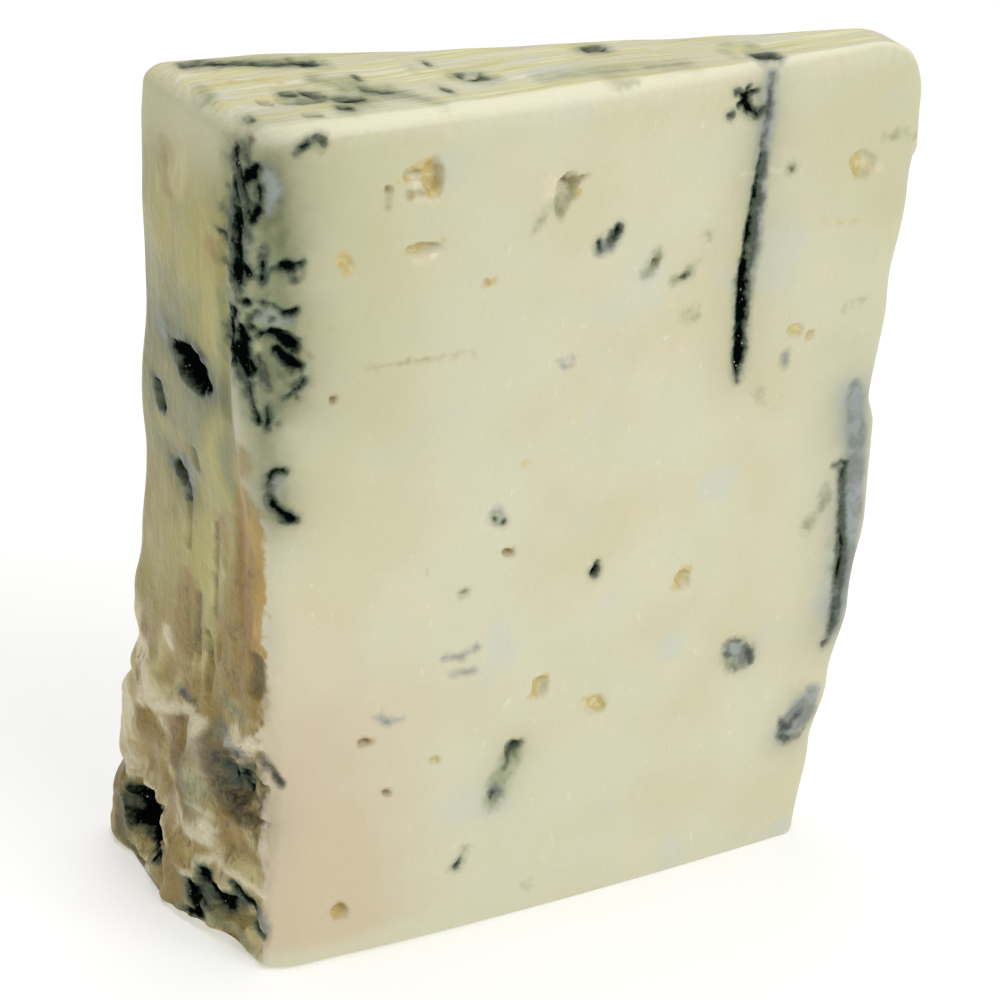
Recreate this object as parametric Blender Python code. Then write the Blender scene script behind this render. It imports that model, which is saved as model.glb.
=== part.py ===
"""A thin wedge of blue cheese, cut from a small wheel and standing on one flat end of it."""
import math

import bmesh
import bpy
from mathutils import Euler, Vector, noise

# Driving dimensions, in millimetres unless a name says otherwise.
MM = 0.001
HEIGHT = 105.0
LENGTH = 80.0
RIND_END_THICKNESS = 26.0
RIND_END_SAG = 10.5
POINT_THICKNESS = 3.8
POINT_SAG = 3.2
EDGE_RADIUS = 2.4
FOOT_RADIUS = 1.1
FOOT_REACH = 30.0
FACE_BOW = 1.2
BACK_BOW = 0.6
FOOT_BULGE = 2.1
POINT_BULGE = 1.5
TOP_CORNER_RADIUS = 8.0
FOOT_BAND = 1.2
ROUND_MIDDLE = 1.0 - math.tan(math.pi / 8.0)

# Cells of the block that is shaped into the wedge.
CELLS_ALONG = 32
CELLS_THROUGH = 10
CELLS_UP = 40

# The end edges, each as (height, place along the length).
POINT_EDGE = ((0.0, 73.8), (13.0, 75.5), (21.0, 77.5), (32.0, 79.5), (44.0, 80.9), (56.0, 80.9),
              (60.0, 79.9), (73.0, 81.0), (86.0, 82.7), (97.0, 83.6), (105.0, 83.2))
RIND_FRONT_EDGE = ((0.0, -0.4), (12.0, 0.0), (30.0, 0.4), (55.0, 1.2), (75.0, -1.0), (92.0, -0.8), (105.0, 0.4))
RIND_BACK_EDGE = ((0.0, -6.2), (6.0, -5.4), (13.0, -4.3), (20.0, -4.5), (37.0, -4.2), (45.0, -3.3),
                  (57.0, -2.9), (65.0, -3.4), (74.0, -3.0), (88.0, -3.9), (98.0, -3.6), (105.0, -3.3))

# Surface relief: (size of a wave, height of a wave).
SMOOTH_WAVE = (26.0, 0.55)
KNIFE_WAVE = (7.0, 0.16)
CRAG_WAVE = (8.5, 0.9)
CRAG_FOOT = 24.0
CRAG_TOP = 46.0
CRAG_DEPTH = 10.0

# Hollows in the front cut face: (name, (along, height), (width, depth, height), tilt in degrees).
CUT_FACE_HOLLOWS = (
    ("upper_pit", (19.0, 97.3), (5.4, 4.4, 3.4), 8.0),
    ("upper_slit", (19.4, 89.7), (5.0, 2.8, 1.5), -12.0),
    ("ragged_pit", (36.0, 93.4), (3.8, 3.6, 5.6), -20.0),
    ("mould_pit", (41.2, 87.2), (2.9, 2.2, 3.2), 10.0),
    ("crescent_pit", (75.3, 90.2), (4.4, 2.4, 3.4), -15.0),
    ("middle_pit", (53.8, 41.5), (2.5, 2.4, 2.7), 20.0),
    ("lower_slit", (34.7, 31.6), (2.2, 2.8, 3.7), 42.0),
    ("lower_pit", (42.3, 27.1), (3.6, 2.4, 2.8), 0.0),
    ("speck_pit", (12.3, 29.2), (1.9, 2.0, 1.3), 0.0),
    ("foot_pit", (8.9, 6.8), (2.7, 3.0, 2.6), 0.0),
    ("vein_pit", (31.4, 22.8), (2.6, 2.6, 4.4), 32.0),
    ("right_vein_pit", (62.4, 28.6), (3.2, 2.0, 4.6), 0.0),
    ("edge_blotch", (71.8, 17.4), (4.2, 1.8, 4.4), 25.0),
    ("needle_mouth", (58.4, 100.6), (2.6, 2.2, 3.8), 0.0),
    ("needle_channel", (59.7, 75.4), (1.5, 2.2, 20.0), 0.8),
    ("edge_channel", (77.1, 38.4), (1.6, 2.4, 25.0), 1.5),
)
# Hollows elsewhere: (name, centre, (width, depth, height), tilt in degrees).
RIND_HOLLOWS = (
    ("corner_channel", (-1.4, 2.4, 91.0), (2.2, 2.2, 24.0), 0.0),
    ("corner_cluster", (2.4, -0.4, 78.6), (5.0, 3.0, 6.4), 12.0),
    ("corner_hook", (1.9, -0.2, 62.6), (2.3, 2.4, 7.0), 12.0),
    ("rind_hole", (-3.0, 13.6, 73.8), (4.0, 4.2, 6.6), 0.0),
    ("rind_slit", (-3.6, 21.6, 66.2), (3.0, 2.2, 3.6), 0.0),
    ("rind_pore", (-2.5, 18.6, 58.2), (2.4, 2.6, 3.2), 0.0),
    ("corner_recess", (-0.9, 4.0, 23.4), (3.6, 6.4, 11.0), 0.0),
    ("back_cavity", (-6.4, 26.0, 6.4), (5.4, 8.0, 8.4), 0.0),
    ("foot_recess", (-2.8, 8.2, 5.6), (4.4, 7.2, 4.2), 0.0),
    ("foot_chip", (-3.4, 8.6, 0.0), (5.4, 9.0, 1.5), 0.0),
)
TOP_HOLLOWS = (
    ("top_eye_left", (27.9, 7.4, 105.0), (3.0, 1.6, 1.6), 0.0),
    ("top_eye_right", (44.0, 9.4, 105.0), (2.6, 1.5, 1.6), 0.0),
    ("needle_top", (61.3, 1.0, 104.8), (2.2, 1.9, 2.2), 0.0),
)
HOLLOW_ROUGHNESS = 0.2
HOLLOW_ROUNDS = 2


def smooth_step(low, high, value):
    share = min(max((value - low) / (high - low), 0.0), 1.0)
    return share * share * (3.0 - 2.0 * share)


def along(knots, value):
    """Follow an outline smoothly from knot to knot."""
    for (low, first), (high, second) in zip(knots, knots[1:]):
        if value <= high:
            return first + (second - first) * smooth_step(low, high, value)
    return knots[-1][1]


def wave(point, size, height):
    return height * noise.noise(Vector(point) / size)


def cell_places(cells, length):
    """Places of the cell lines, with two cells at each end in the rounded edge."""
    inner = cells - 4
    step = (length - 2.0 * EDGE_RADIUS) / inner
    start = [0.0, ROUND_MIDDLE * EDGE_RADIUS]
    middle = [EDGE_RADIUS + step * index for index in range(inner + 1)]
    return start + middle + [length - place for place in reversed(start)]


def rounded(point, size):
    """Move a point of the block's skin onto the block with rounded edges."""
    radius = FOOT_RADIUS + (EDGE_RADIUS - FOOT_RADIUS) * smooth_step(0.0, FOOT_REACH, point[2])
    inner = Vector([min(max(value, radius), side - radius) for value, side in zip(point, size)])
    offset = Vector(point) - inner
    if offset.length == 0.0:
        return inner
    return inner + offset.normalized() * radius


def cut_face(along_share, height):
    """How far the front cut face stands forward of its plane."""
    low = 1.0 - height / HEIGHT
    bow = FACE_BOW * math.sin(math.pi * min(max(along_share, 0.0), 1.0))
    return bow, FOOT_BULGE * low * low * smooth_step(-0.05, 0.06, along_share)


def wedge_point(along_share, through, height):
    """Turn shares of the block into a place on the wedge."""
    low = 1.0 - height / HEIGHT
    bend = 1.0 - (1.0 - through) ** 1.7
    low_bend = smooth_step(0.0, 0.5, through)
    blend = 1.0 - smooth_step(8.0, 34.0, height)
    bend = bend * (1.0 - blend) + low_bend * blend
    front = along(RIND_FRONT_EDGE, height)
    back = along(RIND_BACK_EDGE, height)
    left = front + (back - front) * bend
    right = along(POINT_EDGE, height) - POINT_BULGE * (2.0 * through - 1.0) ** 2
    x = left + (right - left) * along_share
    thick_left = RIND_END_THICKNESS + RIND_END_SAG * low ** 1.5
    thick_right = POINT_THICKNESS + POINT_SAG * low
    thickness = thick_left + (thick_right - thick_left) * along_share
    bow, foot_bow = cut_face(along_share, height)
    y = -bow - foot_bow + through * (thickness + BACK_BOW * bow)
    past = min(max(x - POINT_EDGE[-1][1] + TOP_CORNER_RADIUS, 0.0), TOP_CORNER_RADIUS)
    drop = TOP_CORNER_RADIUS - math.sqrt(TOP_CORNER_RADIUS ** 2 - past ** 2)
    z = height - drop * smooth_step(0.8 * HEIGHT, HEIGHT, height)
    return Vector((x, y, z))


def relief(point, normal):
    """Height of the skin over the smooth wedge at one place."""
    height = wave(point, *SMOOTH_WAVE) + wave(point, *KNIFE_WAVE)
    craggy = 1.0 - smooth_step(CRAG_FOOT, CRAG_TOP, point.z)
    craggy *= 1.0 - smooth_step(0.0, CRAG_DEPTH, point.x)
    craggy *= 1.0 - smooth_step(-0.6, 0.3, normal.x)
    height += craggy * wave((point.x, point.y, point.z * 0.8), *CRAG_WAVE)
    return height * smooth_step(0.0, FOOT_BAND, point.z)


def cheese_block():
    """The wedge as one closed skin around the origin, and the middle of the foot it was moved from."""
    size = (LENGTH, RIND_END_THICKNESS, HEIGHT)
    cells = (CELLS_ALONG, CELLS_THROUGH, CELLS_UP)
    mesh = bmesh.new()
    bmesh.ops.create_cube(mesh, size=1.0)
    for axis in range(3):
        edges = [e for e in mesh.edges
                 if abs((e.verts[0].co - e.verts[1].co)[axis]) > 0.5]
        bmesh.ops.subdivide_edges(mesh, edges=edges, cuts=cells[axis] - 1, use_grid_fill=True)
    places = [cell_places(cells[axis], size[axis]) for axis in range(3)]
    for vertex in mesh.verts:
        block = [places[axis][round((vertex.co[axis] + 0.5) * cells[axis])] for axis in range(3)]
        skin = rounded(block, size)
        vertex.co = wedge_point(skin.x / LENGTH, skin.y / RIND_END_THICKNESS, skin.z)
    mesh.normal_update()
    moves = [(vertex, vertex.normal * relief(vertex.co, vertex.normal)) for vertex in mesh.verts]
    for vertex, move in moves:
        vertex.co = (vertex.co + move) * MM
    ends = [(min(v.co[axis] for v in mesh.verts), max(v.co[axis] for v in mesh.verts)) for axis in range(2)]
    middle = Vector((sum(ends[0]) / 2.0, sum(ends[1]) / 2.0, 0.0))
    bmesh.ops.translate(mesh, verts=mesh.verts, vec=-middle)
    data = bpy.data.meshes.new("cheese_wedge")
    mesh.to_mesh(data)
    mesh.free()
    return data, middle


def hollow(name, centre, size, tilt, middle, collection):
    """One rough rounded tool that leaves a hollow in the wedge."""
    mesh = bmesh.new()
    bmesh.ops.create_icosphere(mesh, subdivisions=HOLLOW_ROUNDS, radius=0.5)
    for vertex in mesh.verts:
        bump = noise.noise(vertex.co * 3.1 + Vector(centre))
        vertex.co *= 1.0 + HOLLOW_ROUGHNESS * bump
    turn = Euler((0.0, math.radians(tilt), 0.0)).to_matrix()
    for vertex in mesh.verts:
        stretched = Vector([value * side for value, side in zip(vertex.co, size)])
        vertex.co = (turn @ stretched + Vector(centre)) * MM
    data = bpy.data.meshes.new(name)
    mesh.to_mesh(data)
    mesh.free()
    tool = bpy.data.objects.new(name, data)
    tool.location = -middle
    tool.hide_render = True
    tool.display_type = "WIRE"
    collection.objects.link(tool)
    return tool


def cheese_material():
    material = bpy.data.materials.new("cheese_paste")
    material.use_nodes = True
    shader = material.node_tree.nodes["Principled BSDF"]
    shader.inputs["Base Color"].default_value = (0.64, 0.62, 0.44, 1.0)
    shader.inputs["Roughness"].default_value = 0.5
    return material


def build():
    for item in list(bpy.data.objects):
        bpy.data.objects.remove(item, do_unlink=True)
    parts = bpy.data.collections.new("blue_cheese")
    cutters = bpy.data.collections.new("cutters")
    bpy.context.scene.collection.children.link(parts)
    bpy.context.scene.collection.children.link(cutters)
    block, middle = cheese_block()
    wedge = bpy.data.objects.new("cheese_wedge", block)
    wedge.data.materials.append(cheese_material())
    parts.objects.link(wedge)
    on_face = tuple((name, (x, -sum(cut_face(x / LENGTH, z)), z), size, tilt)
                    for name, (x, z), size, tilt in CUT_FACE_HOLLOWS)
    for name, centre, size, tilt in on_face + RIND_HOLLOWS + TOP_HOLLOWS:
        tool = hollow(name, centre, size, tilt, middle, cutters)
        cut = wedge.modifiers.new(name, "BOOLEAN")
        cut.operation = "DIFFERENCE"
        cut.solver = "EXACT"
        cut.object = tool


build()
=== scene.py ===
"""A wedge of blue cheese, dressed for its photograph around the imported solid."""

import math
import random

import bmesh
import bpy
import numpy as np
from mathutils import Matrix, Vector, noise


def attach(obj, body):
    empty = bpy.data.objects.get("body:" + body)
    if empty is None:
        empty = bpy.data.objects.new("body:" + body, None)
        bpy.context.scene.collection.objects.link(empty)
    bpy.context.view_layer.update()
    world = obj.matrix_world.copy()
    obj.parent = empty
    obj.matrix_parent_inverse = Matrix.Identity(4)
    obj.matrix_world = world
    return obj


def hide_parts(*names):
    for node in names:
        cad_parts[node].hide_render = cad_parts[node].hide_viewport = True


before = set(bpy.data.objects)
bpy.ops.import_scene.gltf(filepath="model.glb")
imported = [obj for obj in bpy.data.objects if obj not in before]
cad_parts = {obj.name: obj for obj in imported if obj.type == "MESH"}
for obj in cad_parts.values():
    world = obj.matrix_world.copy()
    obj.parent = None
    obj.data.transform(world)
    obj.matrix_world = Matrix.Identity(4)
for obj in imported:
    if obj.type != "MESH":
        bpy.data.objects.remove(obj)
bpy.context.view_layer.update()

# The wedge's own millimetres count from the foot of its front rind edge. The frame's origin lies here in them.
MM = 0.001
FRAME_ORIGIN = np.array((38.59, 15.79, 0.0))
EVEN = (1.0, 1.0, 1.0)

# Driving dimensions of the wedge, in millimetres.
HEIGHT = 105.0
LENGTH = 80.0
RIND_END_THICKNESS = 26.0
RIND_END_SAG = 10.5
RIND_SAG_POWER = 1.5
POINT_THICKNESS = 3.8
POINT_SAG = 3.2
EDGE_RADIUS = 2.4
FOOT_RADIUS = 1.1
FOOT_REACH = 30.0
FACE_BOW = 1.2
BACK_BOW = 0.6
FOOT_BULGE = 2.1
FOOT_BULGE_START = (-0.05, 0.06)
POINT_BULGE = 1.5
TOP_CORNER_RADIUS = 8.0
TOP_CORNER_FOOT = 0.8 * HEIGHT
FOOT_BAND = 1.2
POINT_EDGE = ((0.0, 73.8), (13.0, 75.5), (21.0, 77.5), (32.0, 79.5), (44.0, 80.9), (56.0, 80.9),
              (60.0, 79.9), (73.0, 81.0), (86.0, 82.7), (97.0, 83.6), (105.0, 83.2))
RIND_FRONT_EDGE = ((0.0, -0.4), (12.0, 0.0), (30.0, 0.4), (55.0, 1.2), (75.0, -1.0), (92.0, -0.8), (105.0, 0.4))
RIND_BACK_EDGE = ((0.0, -6.2), (6.0, -5.4), (13.0, -4.3), (20.0, -4.5), (37.0, -4.2), (45.0, -3.3),
                  (57.0, -2.9), (65.0, -3.4), (74.0, -3.0), (88.0, -3.9), (98.0, -3.6), (105.0, -3.3))
# The rind end bends back by a power of the depth, and near its foot by a plain step.
BEND_POWER = 1.7
FOOT_BEND = (0.0, 0.5)
BEND_CHANGE = (8.0, 34.0)
BLOCK_SIZE = (LENGTH, RIND_END_THICKNESS, HEIGHT)

# Cells of the block before its marked zones are divided again, once for each reach.
CELLS = (84, 28, 108)
EDGE_CELLS = 4
FINE_REACH = (2.2, 0.9)
CRAGGY_HEIGHT = 62.0
HOLLOW_TRACE = 0.03

# Relief: a wave is (size, height) in millimetres, and a stretch makes its features longer where it is small.
SMOOTH_WAVE = (26.0, 0.55)
KNIFE_WAVE = (7.0, 0.16)
CRAG_WAVE = (8.5, 0.9)
CRAG_STRETCH = (1.0, 1.0, 0.8)
CRAG_FOOT = 24.0
CRAG_TOP = 46.0
CRAG_DEPTH = 10.0
CRAG_FACING = (-0.6, 0.3)
FOLD_PUSH = (7.0, 6.0)
FOLD_WAVE = (5.0, 2.0)
FOLD_STRETCH = (1.0, 1.0, 0.4)
FOLD_SINK = 0.2
CRUMB_WAVE = (2.2, 0.6)
CRUMB_STRETCH = (1.0, 1.0, 0.5)
RIDGE_WAVE = (6.0, 0.3)
RIDGE_STRETCH = (1.0, 1.0, 0.3)
CREASE_AT = 5.0
CREASE_WIDTH = 0.7
CREASE_DEPTH = 0.45
CREASE_WAVE = (9.0, 0.8)
CREASE_FOOT = (36.0, 50.0)
GROOVE_WAVE = (0.8, 0.3)
# How far each mark stands out, and the distances from it over which that fades.
PALE_RELIEF = (0.3, -0.6, 0.6)
GROOVE_RELIEF = (-0.4, -0.5, 0.35)
DARK_RELIEF = (-0.35, -0.3, 0.3)
BROWN_RELIEF = (-0.2, -0.3, 0.3)
PALE_ON_PASTE = 0.2
# The chip under the foot: its middle, its half sizes and its height.
FOOT_CHIP = ((-3.4, 8.6), (5.4, 9.0), 1.5)

# Hollows: two waves that make their walls ragged, and the share of their reach in which the wall drops.
HOLLOW_WAVES = ((1.7, 0.3), (0.7, 0.15))
HOLLOW_WAVE_SHIFT = 40.0
HOLLOW_WALL = (0.62, 1.12)
HOLLOW_LEAST_HALF = 0.4
HOLLOW_DEPTH_WEIGHT = 0.6
HOLLOW_FLOOR = (0.8, 0.4)
INTO_FRONT = (0.0, 1.0, 0.0)
INTO_BACK = (0.0, -1.0, 0.0)
INTO_RIND = (1.0, 0.0, 0.0)
INTO_TOP = (0.0, 0.0, -1.0)

# Kinds of mark: mould is the blue-black growth, stain and halo its dark and grey-blue stains, green an olive
# one, ochre the yellow lining of a hollow, brown and dark the ripe rind and its cracks, white and rim pale rims;
# white on the lips of pits is partly painted highlight.
KINDS = ("mould", "stain", "halo", "green", "ochre", "brown", "dark", "white", "rim")
FIELD_FAR = 6.0
# Marks on the faces that the photograph sees aslant have radii as they look from there, so they run wide
# through y.
ASLANT = (1.0, 0.45, 1.0)
TOP_THINNESS = 0.8

# Bounds between which a tone fades: in millimetres along, behind the cut face or up, or as a share of facing.
FADES = {
    "high": (58.0, 70.0), "over corner": (-1.3, 1.5), "behind corner": (3.2, 5.2), "under top": (92.0, 103.5),
    "rind facing": (-0.85, -0.35), "dusk foot": (50.0, 62.0), "dusk top": (78.0, 94.0),
    "top facing": (0.4, 0.9),
    "peach top": (20.0, 62.0), "peach end": (2.0, 34.0), "peach foot": (0.0, 5.0), "ripe": (24.0, 66.0),
    # shade is painted shade, darkening the rind end the further it lies behind the cut face.
    "shade": (10.0, 26.0), "strip": (5.0, 7.5), "strip top": (50.0, 74.0),
    "dull left": (4.0, 40.0), "dull left foot": (50.0, 75.0), "dull top": (66.0, 90.0),
    "dull right": (56.0, 78.0), "dull right foot": (40.0, 70.0), "dull facing": (0.3, 0.7),
    # The painted highlight of the top front edge: where it faces up, where it faces forward, and in a band under
    # the top.
    "painted highlight up": (-0.1, 0.5), "painted highlight front": (0.1, 0.6), "painted highlight band": (99.5, 104.5),
}
CORNER_DEPTH = 6.0
DULL_LEFT, DULL_TOP, DULL_RIGHT = 1.2, 0.2, 0.9
# How strongly the painted highlight lies in the band under the top.
PAINTED_HIGHLIGHT_BAND_SHARE = 0.5
# Noise written on the skin: (name, size, octaves, stretch, shift, how it is pushed about).
CLOUDS = (("coarse", 16.0, 3, EVEN, 31.0, None), ("cloud", 6.0, 4, EVEN, 57.0, None),
          ("veil", 9.0, 3, EVEN, 95.0, None),
          ("patch", 6.0, 3, (1.0, 0.8, 0.4), 151.0, (9.0, 8.0)),
          ("second", 4.0, 3, (1.0, 0.8, 0.5), 203.0, (9.0, 8.0)),
          ("fold", 5.0, 2, FOLD_STRETCH, 241.0, (3.0, 3.0)))
PUSH_SHIFTS = (0.0, 130.0, 270.0)

# Colours as they show on a screen.
COLOURS = {
    # The paste.
    "cream": (219, 217, 187), "deep cream": (216, 210, 174), "warm cream": (225, 217, 183),
    "cool veil": (207, 213, 199), "pale fleck": (236, 233, 216), "dull cream": (203, 200, 160),
    "peach": (214, 196, 164), "top smear": (222, 215, 156), "top olive": (190, 186, 124),
    "top streak": (248, 243, 216), "lit edge": (240, 236, 208),
    # The rind end.
    "straw": (186, 177, 104), "olive straw": (161, 157, 90), "pale straw": (206, 198, 133),
    # shade is the painted shade of the rind end.
    "straw fold": (172, 148, 86), "dusk": (122, 128, 92), "shade": (130, 122, 74), "browned": (160, 137, 72),
    "browned cream": (200, 186, 126), "browned olive": (136, 128, 74), "browned fold": (126, 101, 44),
    "bloom": (230, 220, 180), "fold line": (100, 76, 38), "strip": (190, 156, 84), "strip fold": (160, 120, 54),
    "pale strip": (206, 192, 132),
    # The marks.
    "olive murk": (88, 97, 54), "brown murk": (92, 74, 30), "mist": (88, 114, 126), "brown": (154, 127, 62),
    "deep brown": (108, 87, 36), "white": (224, 214, 176), "bright white": (240, 234, 210),
    "dark": (98, 88, 46), "deep dark": (46, 46, 28), "ochre": (206, 182, 106), "pale ochre": (226, 212, 150),
    "green": (112, 124, 86), "pale green": (166, 174, 134), "halo": (118, 126, 122),
    "pale halo": (156, 162, 162),
    "rim": (214, 208, 196), "haze": (114, 124, 90), "stain": (46, 56, 46), "pale stain": (88, 100, 84),
    "growth edge": (76, 88, 68), "mould": (56, 68, 54), "black mould": (5, 9, 7), "mould bloom": (38, 56, 50),
    # The granules, their pale ones painted glints, and the floor.
    "granule": (30, 40, 34), "painted glint granule": (206, 208, 176), "floor": (246, 246, 246),
    "floor shade": (243, 243, 243),
}

# Wet granules in the mould, their pale ones painted glints: radius and points for each square metre, scales,
# and how deep in the growth they start.
GRANULE_SIZE = 0.00013
GRANULE_DENSITY = 0.35e6
GRANULE_SCALES = (0.4, 1.5)
GRANULE_DEPTH = -0.15
GRANULE_SEED = 5

# The studio, in metres and watts: (name, place, size, power).
LIGHTS = (("key", (0.35, -0.75, 0.85), 0.7, 5.05), ("left", (-0.9, -0.1, 0.5), 0.5, 0.5),
          ("above", (0.0, 0.25, 1.1), 0.8, 4.3))
LIGHT_AIM = (0.0, 0.0, 0.05)
FLOOR_SIZE = 3.0
FLOOR_CELLS = 8
FLOOR_GLOW = 0.27
SKY_GLOW = 0.37
WHITE_LIGHT = (1.0, 1.0, 1.0, 1.0)

# The photograph's camera, in the wedge's own millimetres.
CAMERA_AT = np.array((-105.67, -256.73, 210.75))
CAMERA_FORWARD = Vector((0.4115, 0.7812, -0.4695))
CAMERA_UP = Vector((0.1863, 0.4322, 0.8824))
CAMERA_LENS = 104.15
CAMERA_SENSOR = 36.0
CAMERA_CLIP = 0.01

rng = random.Random(11)

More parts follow.
